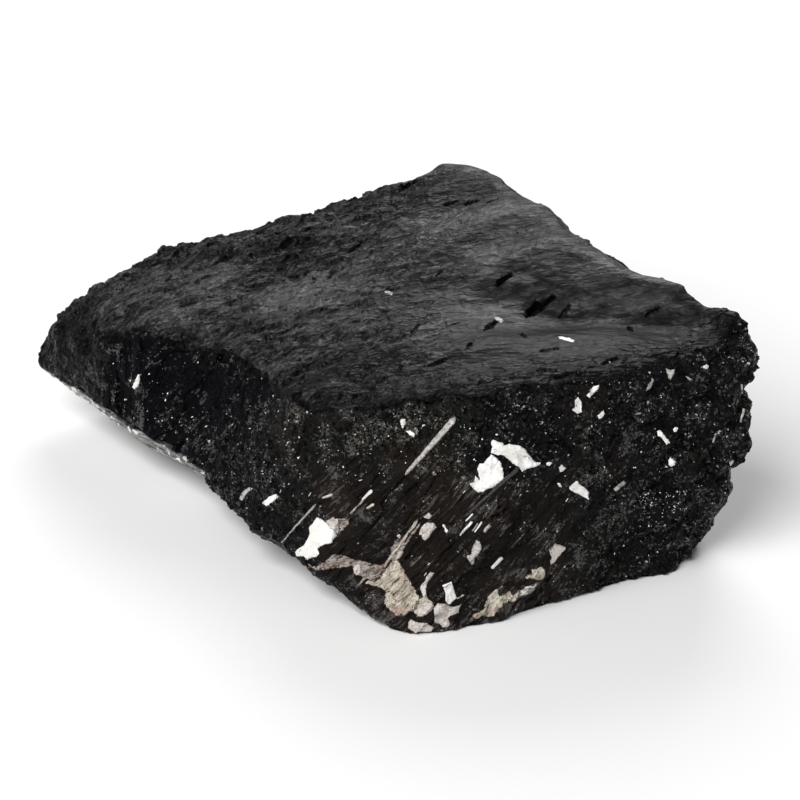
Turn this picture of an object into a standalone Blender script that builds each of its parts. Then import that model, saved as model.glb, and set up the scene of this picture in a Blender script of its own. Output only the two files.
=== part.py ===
"""A broken block of massive black tourmaline with pale feldspar and quartz grown into it.

Blender 4.5 script, metres, +Z up. The block lies on its flat underside with the origin at the centre of
its footprint. Its long side runs along X, and the broken face with the pale grains looks towards -Y.

How it is made: a corner table gives foot, brow and bulges all round, the rings between them are bridged
into a block, the block is remeshed to even faces, and each face gets the relief of its kind of break.
The pale minerals are inlays: a prism cuts each one out of the block, and a prism a little larger cuts
its socket.
"""

import math
from collections import namedtuple

import bmesh
import bpy
from mathutils import Matrix, Vector, noise
from mathutils.bvhtree import BVHTree

MM = 0.001

# ---- Driving dimensions, in millimetres -------------------------------------------------------------

FACE_SIZE = 3.4  # side of the even faces that the block is remeshed to
BRIDGE_STEPS = (0.25, 0.5, 0.75)  # heights of the three rings between foot and brow
CROWN = Vector((4.0, 3.0, 50.8))  # the top face runs evenly from the brow to here
CROWN_STEPS = (0.05, 0.2, 0.45, 0.7, 0.92)  # how far in from the brow the rings of the top face lie
SPIKE_SMOOTHING = 0.4  # share of the way that each vertex moves to its neighbours' middle
SHOULDER_STEP = 0.2  # a corner's shoulder rises above the straight run to the crown most of all here
SOLE = Vector((8.0, 0.0, -6.0))  # the underside runs from the foot to here, and is cut flat at Z = 0
SOLE_STEPS = (0.06, 0.3, 0.65, 0.92)
SOLE_RISE_KEPT = (0.92, 0.2, 0.0, 0.0)  # share of a raised foot's height that each of those rings keeps
BELOW_CUT = 4.0  # a foot at height 0 is carried on down by this, and cut off there

SOCKET_GAP = 0.3  # clearance between an inlaid mineral and its socket
INLAY_PROUD = 9.0  # how far an inlay's prism starts outside the surface

# Corners all round, clockwise seen from above, beginning at the toe nearest to -Y. Bulges move the
# side outwards at the three heights in between. A shoulder lifts the top face in from that corner.
Corner = namedtuple("Corner", "name foot brow bulges shoulder", defaults=((0.0, 1.0, 0.5), 0.0))
CORNERS = (
    Corner("toe", (6.0, -58.0, 0.0), (6.0, -44.0, 48.3), (0.0, 1.0, 1.0)),
    Corner("toe_left", (-5.0, -51.3, 2.8), (-4.0, -41.5, 46.5), (0.0, 1.0, 1.0)),
    Corner("shin_a", (-12.0, -46.3, 5.2), (-10.0, -38.5, 45.2), (0.0, 1.0, 1.0)),
    Corner("shin_b", (-19.0, -39.5, 8.0), (-15.0, -36.5, 44.3), (0.0, 1.0, 1.0)),
    Corner("knee", (-27.5, -31.6, 8.6), (-19.5, -33.5, 43.0), (0.5, 1.5, 1.0)),
    Corner("ankle", (-35.2, -20.0, 8.6), (-22.5, -22.5, 43.0), (0.0, 0.5, 0.5)),
    Corner("heel", (-40.5, -9.3, 9.0), (-28.0, -13.0, 42.0), (-0.5, -1.5, -1.5)),
    Corner("flank_a", (-46.0, -3.0, 9.8), (-36.5, -4.0, 40.8), (-0.5, -2.5, -1.5)),
    Corner("flank_b", (-54.0, 5.5, 9.3), (-46.5, 2.5, 39.0), (-0.5, -2.0, -1.0)),
    Corner("flank_c", (-60.0, 11.5, 8.4), (-55.5, 5.0, 37.0), (0.0, -1.5, -0.5)),
    Corner("flank_d", (-66.5, 20.0, 10.4), (-64.0, 12.5, 35.0), (0.0, -0.5, 0.0), 1.0),
    Corner("flank_e", (-75.0, 28.5, 11.0), (-73.0, 22.5, 26.5), (0.0, 0.0, 0.0), 5.5),
    Corner("tip", (-82.0, 34.5, 12.4), (-83.5, 32.5, 18.5), (0.0, 0.5, 0.0), 11.0),
    Corner("tip_back", (-77.0, 40.0, 10.0), (-78.0, 37.0, 25.5), (0.0, 1.0, 0.5), 6.0),
    Corner("rear_a", (-69.0, 41.0, 6.0), (-71.5, 37.0, 33.4), (0.0, 1.0, 0.5), 2.5),
    Corner("rear_b", (-60.0, 44.0, 3.0), (-63.5, 37.7, 38.0), (0.0, 1.0, 0.5), 0.5),
    Corner("rear_c", (-51.0, 48.0, 1.0), (-53.5, 43.0, 40.8)),
    Corner("rear_d", (-42.0, 50.0, 0.0), (-45.3, 46.8, 43.4)),
    Corner("rear_e", (-32.0, 50.0, 0.0), (-35.5, 43.3, 45.6)),
    Corner("rear_f", (-19.0, 51.0, 0.0), (-22.0, 46.5, 48.9)),
    Corner("rear_g", (-10.0, 53.0, 0.0), (-13.0, 52.3, 50.9)),
    Corner("rear_h", (-3.0, 52.5, 0.0), (-6.0, 50.2, 53.4)),
    Corner("rear_i", (5.0, 53.0, 0.0), (2.0, 53.0, 55.6), (0.0, 0.0, 0.0)),
    Corner("rear_peak", (17.0, 52.0, 0.0), (16.5, 55.8, 58.9), (0.0, 0.0, 0.0)),
    Corner("rear_turn", (25.0, 46.0, 0.0), (24.3, 50.5, 59.7), (0.0, 0.0, 0.0)),
    Corner("right_a", (32.0, 35.0, 0.0), (32.2, 39.4, 61.2), (0.0, 0.0, 0.0)),
    Corner("right_b", (36.5, 28.0, 0.0), (37.0, 34.6, 60.8), (0.0, 0.0, 0.0)),
    Corner("right_c", (42.0, 18.0, 0.0), (42.3, 20.5, 60.4), (0.0, 1.0, 0.0)),
    Corner("right_d", (48.0, 8.0, 0.0), (47.0, 10.6, 59.0), (1.0, 1.0, 0.0)),
    Corner("right_e", (57.0, -2.0, 0.0), (56.8, 0.6, 59.7), (1.0, 1.0, 0.0)),
    Corner("right_f", (64.0, -10.0, 0.0), (68.8, -9.3, 58.0), (1.0, 1.0, 0.0)),
    Corner("right_g", (66.5, -16.0, 0.0), (75.5, -13.3, 56.7), (2.0, 2.0, 0.5)),
    Corner("right_h", (67.0, -22.0, 0.0), (82.2, -19.0, 54.0), (5.0, 6.0, 1.5)),
    Corner("right_i", (66.0, -27.0, 0.0), (81.2, -25.0, 51.0), (3.5, 5.5, 1.5)),
    Corner("front_right", (64.5, -30.5, 0.0), (74.5, -29.2, 53.2), (0.0, 1.5, 1.0)),
    Corner("front_a", (58.5, -35.0, 0.0), (64.3, -31.0, 54.0), (0.5, 1.5, 0.5)),
    Corner("front_b", (50.5, -36.8, 0.0), (56.0, -33.7, 54.0), (0.5, 1.0, 0.5)),
    Corner("front_c", (44.0, -43.0, 0.0), (47.5, -40.0, 53.3)),
    Corner("front_d", (35.5, -43.9, 0.0), (38.0, -45.8, 52.0)),
    Corner("front_e", (26.0, -50.6, 0.0), (26.0, -48.0, 50.8)),
    Corner("front_f", (15.5, -55.8, 0.0), (16.0, -46.2, 49.5)),
)

# Pits in the top face: centre, half lengths along, across and down, and turn about Z in degrees.
Pit = namedtuple("Pit", "at half turn")
PITS = (
    Pit((34.0, -9.0), (4.2, 2.0, 2.2), 35.0),
    Pit((28.0, 3.5), (3.4, 1.6, 1.8), 30.0),
    Pit((27.0, -16.0), (2.6, 2.0, 1.4), 10.0),
    Pit((12.0, -29.5), (3.0, 2.0, 1.6), 0.0),
)

# The inlays are drawn on one plane, square to a line that rises by this angle towards -Y: the face
# with the pale minerals is seen squarely from there. X runs to the right and V up the plane, and the
# plane passes through the origin.
DRAWING_RISE = math.radians(30.0)
DRAWING_OUT = Vector((0.0, -math.cos(DRAWING_RISE), math.sin(DRAWING_RISE)))
DRAWING_UP = Vector((0.0, math.sin(DRAWING_RISE), math.cos(DRAWING_RISE)))

Inlay = namedtuple("Inlay", "name mineral depth outline")
INLAYS = (
    Inlay(
        "feldspar_matrix_toe", "feldspar", 7.0,
        ((-15.5, -12.7), (-13.6, -13.6), (-10.5, -12.3), (-9.7, -10.8), (-5.2, -12.3), (-1.9, -13.1),
         (0.0, -13.8), (2.1, -11.9), (2.5, -9.1), (4.6, -6.8), (7.2, -3.7), (8.6, -3.5), (6.1, -7.0),
         (5.0, -9.6), (3.6, -11.9), (4.2, -14.0), (5.5, -16.7), (7.4, -19.2), (8.4, -20.7),
         (11.1, -21.3), (14.9, -21.7), (16.8, -21.5), (15.5, -23.6), (13.9, -26.0), (11.3, -25.0),
         (7.6, -24.1), (5.5, -23.4), (3.4, -24.1), (1.1, -22.4), (0.0, -20.1), (-0.2, -18.0),
         (-2.5, -17.1), (-5.0, -18.4), (-3.8, -16.1), (-6.1, -15.4), (-6.3, -13.6), (-11.1, -14.4),
         (-14.1, -14.6)),
    ),
    Inlay(
        "feldspar_matrix_side", "feldspar", 5.0,
        ((19.1, -23.6), (21.4, -22.0), (22.5, -20.1), (25.0, -17.8), (26.0, -18.8), (28.6, -18.4),
         (30.2, -17.6), (31.6, -17.4), (30.5, -16.1), (31.9, -14.6), (33.6, -13.6), (34.9, -15.4),
         (33.4, -17.6), (31.3, -19.9), (29.2, -20.7), (26.5, -21.1), (24.8, -23.2), (22.5, -24.3),
         (20.2, -24.7)),
    ),
    Inlay(
        "feldspar_grain_large", "feldspar", 5.0,
        ((-15.1, -5.8), (-13.4, -3.3), (-10.3, -3.5), (-6.5, -3.3), (-6.7, -4.7), (-9.9, -8.5),
         (-13.2, -9.6), (-13.0, -10.8), (-14.3, -12.1), (-16.8, -11.9), (-17.8, -10.6), (-15.3, -7.7)),
    ),
    Inlay(
        "feldspar_grain_left_eye", "feldspar", 4.0,
        ((23.3, 9.6), (25.2, 8.1), (25.8, 4.9), (23.7, 3.0), (21.4, 2.0), (19.1, 2.8), (20.2, 7.0),
         (21.6, 8.1)),
    ),
    Inlay(
        "feldspar_grain_right_eye", "feldspar", 3.5,
        ((23.1, 12.5), (26.5, 11.9), (29.6, 11.9), (31.3, 9.5), (33.6, 8.1), (29.6, 6.2), (27.7, 7.9),
         (25.8, 10.1), (23.1, 10.6)),
    ),
    Inlay(
        "feldspar_grain_middle", "feldspar", 3.0,
        ((39.3, 2.8), (41.2, 4.5), (43.9, 1.8), (43.7, 0.3), (41.4, 1.6)),
    ),
    Inlay(
        "feldspar_grain_low", "feldspar", 3.0,
        ((35.3, -10.2), (36.5, -8.7), (38.9, -9.6), (37.8, -11.0), (36.3, -13.1), (35.7, -12.7)),
    ),
    Inlay(
        "feldspar_grain_pair", "feldspar", 3.0,
        ((8.0, -6.9), (9.2, -4.9), (11.4, -4.9), (11.6, -6.0), (10.1, -8.1), (9.0, -9.1)),
    ),
    Inlay(
        "quartz_lath", "quartz", 2.5,
        ((4.8, 5.8), (5.3, 6.6), (8.2, 9.9), (11.0, 13.4), (14.2, 17.1), (15.1, 17.5), (15.8, 16.7),
         (13.6, 13.5), (10.9, 10.6), (7.6, 7.2), (5.6, 5.4)),
    ),
)

# The quartz seam plates the raised underside along the flank. Its thickness is set at each corner.
SEAM = (
    ("heel", 1.4), ("flank_a", 2.0), ("flank_b", 2.5), ("flank_c", 3.2), ("flank_d", 2.5),
    ("flank_e", 2.4), ("tip", 2.2),
)
SEAM_DIP = 0.28  # it falls by this much for each millimetre inwards, as the underside does
SEAM_OUTSIDE = 5.0  # its cutter starts this far outside the foot
SEAM_INSIDE = 8.0  # and reaches this far in under the block
SEAM_FLOOR = -1.0  # height of the cutter's lower side

# ---- Materials: sRGB-like linear colour, roughness ---------------------------------------------------

FINISHES = {
    "tourmaline": ((0.010, 0.010, 0.011), 0.42),
    "feldspar": ((0.62, 0.57, 0.50), 0.60),
    "quartz": ((0.42, 0.42, 0.42), 0.45),
}


def material(mineral):
    """The Principled material of one mineral, made once."""
    made = bpy.data.materials.get(mineral)
    if made is None:
        colour, roughness = FINISHES[mineral]
        made = bpy.data.materials.new(mineral)
        made.use_nodes = True
        surface = made.node_tree.nodes["Principled BSDF"]
        surface.inputs["Base Color"].default_value = (*colour, 1.0)
        surface.inputs["Roughness"].default_value = roughness
        surface.inputs["Metallic"].default_value = 0.0
        made.diffuse_color = (*colour, 1.0)
    return made


# ---- The block -----------------------------------------------------------------------------------------


def outward_at(index):
    """The level direction that leaves the block at a corner, square to the foot's run there."""
    before, after = CORNERS[index - 1].foot, CORNERS[(index + 1) % len(CORNERS)].foot
    run = Vector((after[0] - before[0], after[1] - before[1], 0.0))
    # The corners run clockwise, so the outside is to the left of the run.
    return Vector((-run.y, run.x, 0.0)).normalized()


def foot_of(corner):
    """The corner's foot, carried on below the cut where it stands on the ground."""
    foot = Vector(corner.foot)
    return foot if foot.z > 0.0 else foot - Vector((0.0, 0.0, BELOW_CUT))


def sole_ring(step, kept):
    """A ring of the underside, the given share of the way in to its middle."""
    ring = []
    for corner in CORNERS:
        foot = foot_of(corner)
        point = foot.lerp(SOLE, step)
        point.z = SOLE.z * step + foot.z * kept
        ring.append(point)
    return ring


def crown_ring(step):
    """A ring of the top face, the given share of the way in to the crown."""
    share = step / SHOULDER_STEP if step < SHOULDER_STEP else (1.0 - step) / (1.0 - SHOULDER_STEP)
    return [
        Vector(corner.brow).lerp(CROWN, step) + Vector((0.0, 0.0, corner.shoulder * share))
        for corner in CORNERS
    ]


def side_ring(level, step):
    """A ring of the sides between foot and brow."""
    return [
        foot_of(corner).lerp(Vector(corner.brow), step) + outward_at(index) * corner.bulges[level]
        for index, corner in enumerate(CORNERS)
    ]


def rings():
    """The closed rings from the middle of the underside, up the sides, to the middle of the top."""
    under = [sole_ring(step, kept) for step, kept in zip(SOLE_STEPS, SOLE_RISE_KEPT)]
    feet = [foot_of(corner) for corner in CORNERS]
    sides = [side_ring(level, step) for level, step in enumerate(BRIDGE_STEPS)]
    brows = [Vector(corner.brow) for corner in CORNERS]
    return under[::-1] + [feet] + sides + [brows] + [crown_ring(step) for step in CROWN_STEPS]


def bridged(stack):
    """A closed shape through a stack of rings, its two ends filled."""
    work = bmesh.new()
    loops = []
    for ring in stack:
        verts = [work.verts.new(point) for point in ring]
        loops.append([work.edges.new((verts[i - 1], verts[i])) for i in range(len(verts))])
    for lower, upper in zip(loops, loops[1:]):
        bmesh.ops.bridge_loops(work, edges=lower + upper)
    bmesh.ops.holes_fill(work, edges=loops[0] + loops[-1])
    bmesh.ops.recalc_face_normals(work, faces=work.faces)
    return work


def mesh_of(work, name):
    """Turns a bmesh into a mesh and frees it."""
    mesh = bpy.data.meshes.new(name)
    work.to_mesh(mesh)
    work.free()
    return mesh


def evenly_faced(mesh, size):
    """The mesh remeshed to faces of about that size."""
    helper = bpy.data.objects.new("remesher", mesh)
    bpy.context.scene.collection.objects.link(helper)
    remesh = helper.modifiers.new("even_faces", "REMESH")
    remesh.mode = "VOXEL"
    remesh.voxel_size = size
    graph = bpy.context.evaluated_depsgraph_get()
    made = bpy.data.meshes.new_from_object(helper.evaluated_get(graph))
    bpy.data.objects.remove(helper)
    bpy.data.meshes.remove(mesh)
    return made


# ---- Relief ----------------------------------------------------------------------------------------------


def ramp(value, low, high):
    """0 below low, 1 above high, smooth in between."""
    share = min(1.0, max(0.0, (value - low) / (high - low)))
    return share * share * (3.0 - 2.0 * share)


def streaks(point, along, across, length, width):
    """Noise drawn out along one direction, as fibres and cleavage steps are, from -1 to 1."""
    third = along.cross(across)
    return noise.noise(Vector((point @ along / length, point @ across / width, point @ third / length)))


TOP_GRAIN = Vector((1.0, 0.12, 0.0)).normalized()
TOP_ACROSS = Vector((-0.12, 1.0, 0.0)).normalized()
FRONT_GRAIN = Vector((0.64, 0.0, 0.77)).normalized()
FRONT_ACROSS = Vector((-0.77, 0.0, 0.64)).normalized()
FLANK_GRAIN = Vector((0.2, -0.1, 0.97)).normalized()
FLANK_ACROSS = Vector((-0.7, 0.7, 0.2)).normalized()


def top_relief(point):
    """Long low ledges of the weathered top, stepped on one side."""
    wave = streaks(point, TOP_GRAIN, TOP_ACROSS, 34.0, 9.0)
    step = math.floor(wave * 3.0) / 3.0
    return 1.0 * wave + 0.9 * step + 0.5 * noise.noise(point / 7.0)


def front_relief(point):
    """Diagonal flutes low down, a rough break above them."""
    low_down = 1.0 - ramp(point.z, 26.0, 36.0)
    flutes = streaks(point, FRONT_GRAIN, FRONT_ACROSS, 40.0, 6.0)
    return 1.3 * low_down * flutes + 0.9 * noise.noise(point / 8.0)


def flank_relief(point):
    """Steep columns of the undercut flank."""
    return 1.5 * streaks(point, FLANK_GRAIN, FLANK_ACROSS, 30.0, 7.0) + 0.5 * noise.noise(point / 6.0)


def knob_relief(point):
    """Rounded knobs with creases between them, as the right end and the back break."""
    near, far = noise.voronoi(point / 13.0)[0][:2]
    return 3.2 * (min(far - near, 0.5) - 0.25) + 0.8 * noise.noise(point / 6.0)


def relief(point, normal):
    """How far the surface stands out at a point, in millimetres."""
    top = ramp(normal.z, 0.45, 0.75)
    under = ramp(-normal.z, 0.45, 0.75)
    side = 1.0 - top - under
    front = ramp(-normal.y, 0.1, 0.5) * ramp(point.x, -34.0, -26.0) * (1.0 - ramp(normal.x, 0.4, 0.7))
    flank = ramp(-normal.x - normal.y, 0.1, 0.5) * (1.0 - ramp(point.x, -34.0, -26.0))
    knobs = max(0.0, 1.0 - front - flank)
    broad = 0.8 * noise.noise(point / 24.0)
    return (
        broad * (1.0 - 0.5 * top)
        + top * top_relief(point)
        + 0.5 * under * noise.noise(point / 6.0)
        + side * (front * front_relief(point) + flank * flank_relief(point) + knobs * knob_relief(point))
    )


def roughened(mesh):
    """Moves each vertex along its normal by the relief, then takes the spikes off the edges."""
    moves = [vertex.normal * relief(vertex.co, vertex.normal) for vertex in mesh.vertices]
    for vertex, move in zip(mesh.vertices, moves):
        vertex.co += move
    work = bmesh.new()
    work.from_mesh(mesh)
    axes = {f"use_axis_{axis}": True for axis in "xyz"}
    bmesh.ops.smooth_vert(work, verts=work.verts, factor=SPIKE_SMOOTHING, **axes)
    work.to_mesh(mesh)
    work.free()


def flat_footed(mesh):
    """Cuts the underside off level at Z = 0, so that the block has a face to rest on."""
    work = bmesh.new()
    work.from_mesh(mesh)
    cut = bmesh.ops.bisect_plane(
        work, geom=work.verts[:] + work.edges[:] + work.faces[:], dist=0.01,
        plane_co=(0.0, 0.0, 0.0), plane_no=(0.0, 0.0, -1.0), clear_outer=True,
    )
    rim = [item for item in cut["geom_cut"] if isinstance(item, bmesh.types.BMEdge)]
    bmesh.ops.holes_fill(work, edges=rim)
    bmesh.ops.recalc_face_normals(work, faces=work.faces)
    work.to_mesh(mesh)
    work.free()


def to_metres(mesh):
    """Scales a mesh that was modelled in millimetres."""
    mesh.transform(Matrix.Scale(MM, 4))
    mesh.update()


# ---- Cutters ---------------------------------------------------------------------------------------------


def helper_object(name, mesh, cutters):
    """A hidden object that a Boolean reads."""
    made = bpy.data.objects.new(name, mesh)
    made.hide_render = True
    made.display_type = "WIRE"
    cutters.objects.link(made)
    return made


def grown(work, growth):
    """Moves every side of a closed shape outwards by the growth."""
    work.normal_update()
    moves = [(vert, vert.normal * vert.calc_shell_factor() * growth) for vert in work.verts]
    for vert, move in moves:
        vert.co += move
    return work


def prism(inlay, tree):
    """The closed prism of an inlay's outline, square to the drawing plane."""
    corners = [Vector((x, 0.0, 0.0)) + DRAWING_UP * v for x, v in inlay.outline]
    middle = sum(corners, Vector()) / len(corners)
    far = 200.0
    surface = tree.ray_cast((middle + DRAWING_OUT * far) * MM, -DRAWING_OUT)[0] / MM
    face = surface.dot(DRAWING_OUT)
    work = bmesh.new()
    floor = DRAWING_OUT * (face - inlay.depth)
    outline = work.faces.new([work.verts.new(corner + floor) for corner in corners])
    made = bmesh.ops.extrude_face_region(work, geom=[outline])
    lifted = [item for item in made["geom"] if isinstance(item, bmesh.types.BMVert)]
    bmesh.ops.translate(work, verts=lifted, vec=DRAWING_OUT * (inlay.depth + INLAY_PROUD))
    bmesh.ops.recalc_face_normals(work, faces=work.faces)
    return work


def seam_shape():
    """The slab of space along the foot of the flank that the quartz seam fills."""
    numbers = {corner.name: index for index, corner in enumerate(CORNERS)}
    stack = []
    for name, thickness in SEAM:
        index = numbers[name]
        foot = Vector(CORNERS[index].foot)
        outward = outward_at(index)
        outer = foot + outward * SEAM_OUTSIDE
        inner = foot - outward * SEAM_INSIDE
        top = foot.z + thickness
        stack.append([
            Vector((outer.x, outer.y, SEAM_FLOOR)),
            Vector((outer.x, outer.y, top + SEAM_DIP * SEAM_OUTSIDE)),
            Vector((inner.x, inner.y, top - SEAM_DIP * SEAM_INSIDE)),
            Vector((inner.x, inner.y, SEAM_FLOOR)),
        ])
    return bridged(stack)


def pit_cutter(name, pit, tree):
    """A flattened ball sunk half into the top face."""
    above = Vector((pit.at[0], pit.at[1], 100.0)) * MM
    place = tree.ray_cast(above, Vector((0.0, 0.0, -1.0)))[0]
    work = bmesh.new()
    bmesh.ops.create_icosphere(work, subdivisions=2, radius=1.0)
    bmesh.ops.scale(work, verts=work.verts, vec=Vector(pit.half) * MM)
    bmesh.ops.rotate(work, verts=work.verts, matrix=Matrix.Rotation(math.radians(pit.turn), 3, "Z"))
    bmesh.ops.translate(work, verts=work.verts, vec=place)
    mesh = bpy.data.meshes.new(name)
    work.to_mesh(mesh)
    work.free()
    return mesh


def boolean(target, operation, other):
    """Adds one Boolean to an object."""
    cut = target.modifiers.new(other.name, "BOOLEAN")
    cut.operation = operation
    cut.object = other
    cut.solver = "EXACT"


# ---- Building --------------------------------------------------------------------------------------------


def node(name, mesh, mineral, specimen):
    """A piece of the specimen."""
    made = bpy.data.objects.new(name, mesh)
    made.data.materials.clear()
    made.data.materials.append(material(mineral))
    specimen.objects.link(made)
    return made


def inlaid(name, mineral, shape, stone, mass, specimen, cutters):
    """The mineral inside a shape becomes its own piece, and the mass gets the socket for it."""
    socket = grown(shape.copy(), SOCKET_GAP)
    tools = []
    for label, work in ((f"{name}_shape", shape), (f"{name}_socket", socket)):
        mesh = mesh_of(work, label)
        to_metres(mesh)
        tools.append(helper_object(label, mesh, cutters))
    piece = node(name, stone.copy(), mineral, specimen)
    boolean(piece, "INTERSECT", tools[0])
    boolean(mass, "DIFFERENCE", tools[1])


def build():
    """Clears the scene and builds the specimen."""
    for old in list(bpy.data.objects):
        bpy.data.objects.remove(old)
    specimen = bpy.data.collections.new("black_tourmaline")
    cutters = bpy.data.collections.new("cutters")
    bpy.context.scene.collection.children.link(specimen)
    bpy.context.scene.collection.children.link(cutters)

    stone = evenly_faced(mesh_of(bridged(rings()), "block"), FACE_SIZE)
    roughened(stone)
    flat_footed(stone)
    to_metres(stone)
    surface = bmesh.new()
    surface.from_mesh(stone)
    tree = BVHTree.FromBMesh(surface)
    surface.free()

    mass = node("tourmaline_mass", stone.copy(), "tourmaline", specimen)
    for number, pit in enumerate(PITS, 1):
        name = f"pit_{number}"
        boolean(mass, "DIFFERENCE", helper_object(name, pit_cutter(name, pit, tree), cutters))
    for inlay in INLAYS:
        inlaid(inlay.name, inlay.mineral, prism(inlay, tree), stone, mass, specimen, cutters)
    inlaid("quartz_seam", "quartz", seam_shape(), stone, mass, specimen, cutters)
    bpy.data.meshes.remove(stone)


build()
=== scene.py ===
"""A broken block of black tourmaline with pale feldspar and quartz in it, dressed over its solid model.

The block's surface is the solids' own, remeshed finely and given the relief of each kind of break. The
pale minerals are patches laid on that surface, each from its outline in the viewing camera's picture.
Sizes are in millimetres unless a name says otherwise, and become metres where a mesh is finished.
"""

import logging
import math
import random
from dataclasses import dataclass
from enum import Enum
from typing import Callable, Iterable, NamedTuple, Sequence

import bmesh
import bpy
import numpy as np
from mathutils import Matrix, Vector, noise
from mathutils.bvhtree import BVHTree


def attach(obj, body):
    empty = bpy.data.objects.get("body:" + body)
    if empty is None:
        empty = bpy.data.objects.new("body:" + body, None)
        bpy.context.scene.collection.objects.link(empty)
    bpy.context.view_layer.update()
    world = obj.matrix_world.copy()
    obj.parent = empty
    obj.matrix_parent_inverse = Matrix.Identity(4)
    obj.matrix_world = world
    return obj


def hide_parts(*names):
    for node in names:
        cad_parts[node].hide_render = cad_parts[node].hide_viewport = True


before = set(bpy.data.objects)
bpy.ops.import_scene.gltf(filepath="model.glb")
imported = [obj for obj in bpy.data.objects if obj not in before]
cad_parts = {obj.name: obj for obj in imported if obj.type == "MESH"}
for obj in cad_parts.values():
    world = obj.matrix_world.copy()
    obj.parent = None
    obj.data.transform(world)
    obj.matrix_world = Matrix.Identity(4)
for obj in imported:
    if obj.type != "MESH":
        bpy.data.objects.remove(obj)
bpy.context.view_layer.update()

LOG = logging.getLogger("specimen")
MM = 0.001
WELD = 0.01  # corners of the solids closer than this are one
Pixel = tuple[float, float]


# ---- Small tools ----


def ramp(value: float, low: float, high: float) -> float:
    """A smooth step.

    Args:
        value: what is tested.
        low: where the step starts.
        high: where it ends.

    Returns:
        0 below low, 1 above high, smooth in between.
    """
    share = min(1.0, max(0.0, (value - low) / (high - low)))
    return share * share * (3.0 - 2.0 * share)


def linear(hex_colour: str) -> tuple[float, float, float, float]:
    """An sRGB colour for a shader.

    Args:
        hex_colour: six hex digits, such as "1b1b1d".

    Returns:
        Linear red, green and blue, and an alpha of 1.
    """
    channels = [int(hex_colour[at:at + 2], 16) / 255.0 for at in (0, 2, 4)]
    made = [c / 12.92 if c <= 0.04045 else ((c + 0.055) / 1.055) ** 2.4 for c in channels]
    return (*made, 1.0)


def add_node(tree: bpy.types.NodeTree, kind: str, inputs: dict | None = None, **settings) -> bpy.types.Node:
    """Adds a node with its settings and links.

    Args:
        tree: the node tree.
        kind: the node's type name.
        inputs: values or output sockets by input name or number.
        **settings: the node's own properties.

    Returns:
        The new node.
    """
    node = tree.nodes.new(kind)
    for name, value in settings.items():
        setattr(node, name, value)
    for name, value in (inputs or {}).items():
        if isinstance(value, bpy.types.NodeSocket):
            tree.links.new(value, node.inputs[name])
        else:
            node.inputs[name].default_value = value
    return node


def woven(tree: bpy.types.NodeTree, found: dict, sums: Iterable[tuple], mixes: Iterable[tuple] = (),
          colours: Iterable[tuple] = (), curve: str = "SMOOTHSTEP") -> None:
    """Adds sums and mixes of patterns to a material.

    Args:
        tree: the material's tree.
        found: the sockets by name; each result is added to them.
        sums: name, what is added with its weight, and the step that the sum goes through, if any.
        mixes: name, the second one's share, the first and the second one.
        colours: the same for colours.
        curve: how a step runs from its start to its end.
    """
    for name, terms, step in sums:
        found[name] = 0.0
        for term, weight in terms.items():
            found[name] = add_node(tree, "ShaderNodeMath", {
                0: found[term], 1: weight, 2: found[name],
            }, operation="MULTIPLY_ADD").outputs[0]
        if step:
            found[name] = add_node(tree, "ShaderNodeMapRange", {
                "Value": found[name], "From Min": step[0], "From Max": step[1],
            }, interpolation_type=curve).outputs[0]
    for rows, kind, at, result in ((mixes, "FLOAT", 2, 0), (colours, "RGBA", 6, 2)):
        for name, share, first, second in rows:
            found[name] = add_node(tree, "ShaderNodeMix", {
                "Factor": found[share], at: found.get(first, first), at + 1: found.get(second, second),
            }, data_type=kind).outputs[result]


def modified(mesh: bpy.types.Mesh, kind: str, **settings) -> bpy.types.Mesh:
    """Puts a mesh through one modifier.

    Args:
        mesh: the mesh; it is used up.
        kind: the modifier's type name.
        **settings: the modifier's own properties.

    Returns:
        The new mesh.
    """
    helper = bpy.data.objects.new("helper", mesh)
    bpy.context.scene.collection.objects.link(helper)
    modifier = helper.modifiers.new(kind.lower(), kind)
    for name, value in settings.items():
        setattr(modifier, name, value)
    made = bpy.data.meshes.new_from_object(helper.evaluated_get(bpy.context.evaluated_depsgraph_get()))
    bpy.data.objects.remove(helper)
    bpy.data.meshes.remove(mesh)
    return made


def remeshed(mesh: bpy.types.Mesh, voxel_mm: float) -> bpy.types.Mesh:
    """Remeshes a closed mesh, in metres, to even faces of a side."""
    return modified(mesh, "REMESH", mode="VOXEL", voxel_size=voxel_mm * MM)


def thinned(mesh: bpy.types.Mesh, triangles: int) -> bpy.types.Mesh:
    """Merges the least needed triangles of a mesh until about so many are left."""
    held = sum(len(face.vertices) - 2 for face in mesh.polygons)
    return modified(mesh, "DECIMATE", ratio=min(1.0, triangles / held), use_collapse_triangulate=True)


def opened(mesh: bpy.types.Mesh) -> bmesh.types.BMesh:
    """Turns a mesh into a bmesh and removes it."""
    work = bmesh.new()
    work.from_mesh(mesh)
    bpy.data.meshes.remove(mesh)
    return work


def smoothed(work: bmesh.types.BMesh, verts: Sequence[bmesh.types.BMVert], times: int) -> None:
    """Moves each vertex half way to the middle of its neighbours, so many times."""
    for _ in range(times):
        bmesh.ops.smooth_vert(
            work, verts=verts, factor=0.5, use_axis_x=True, use_axis_y=True, use_axis_z=True,
        )


def rest_on_floor(work: bmesh.types.BMesh) -> None:
    """Lifts what lies below the floor up to it."""
    for vert in work.verts:
        vert.co.z = max(vert.co.z, 0.0)


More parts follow.
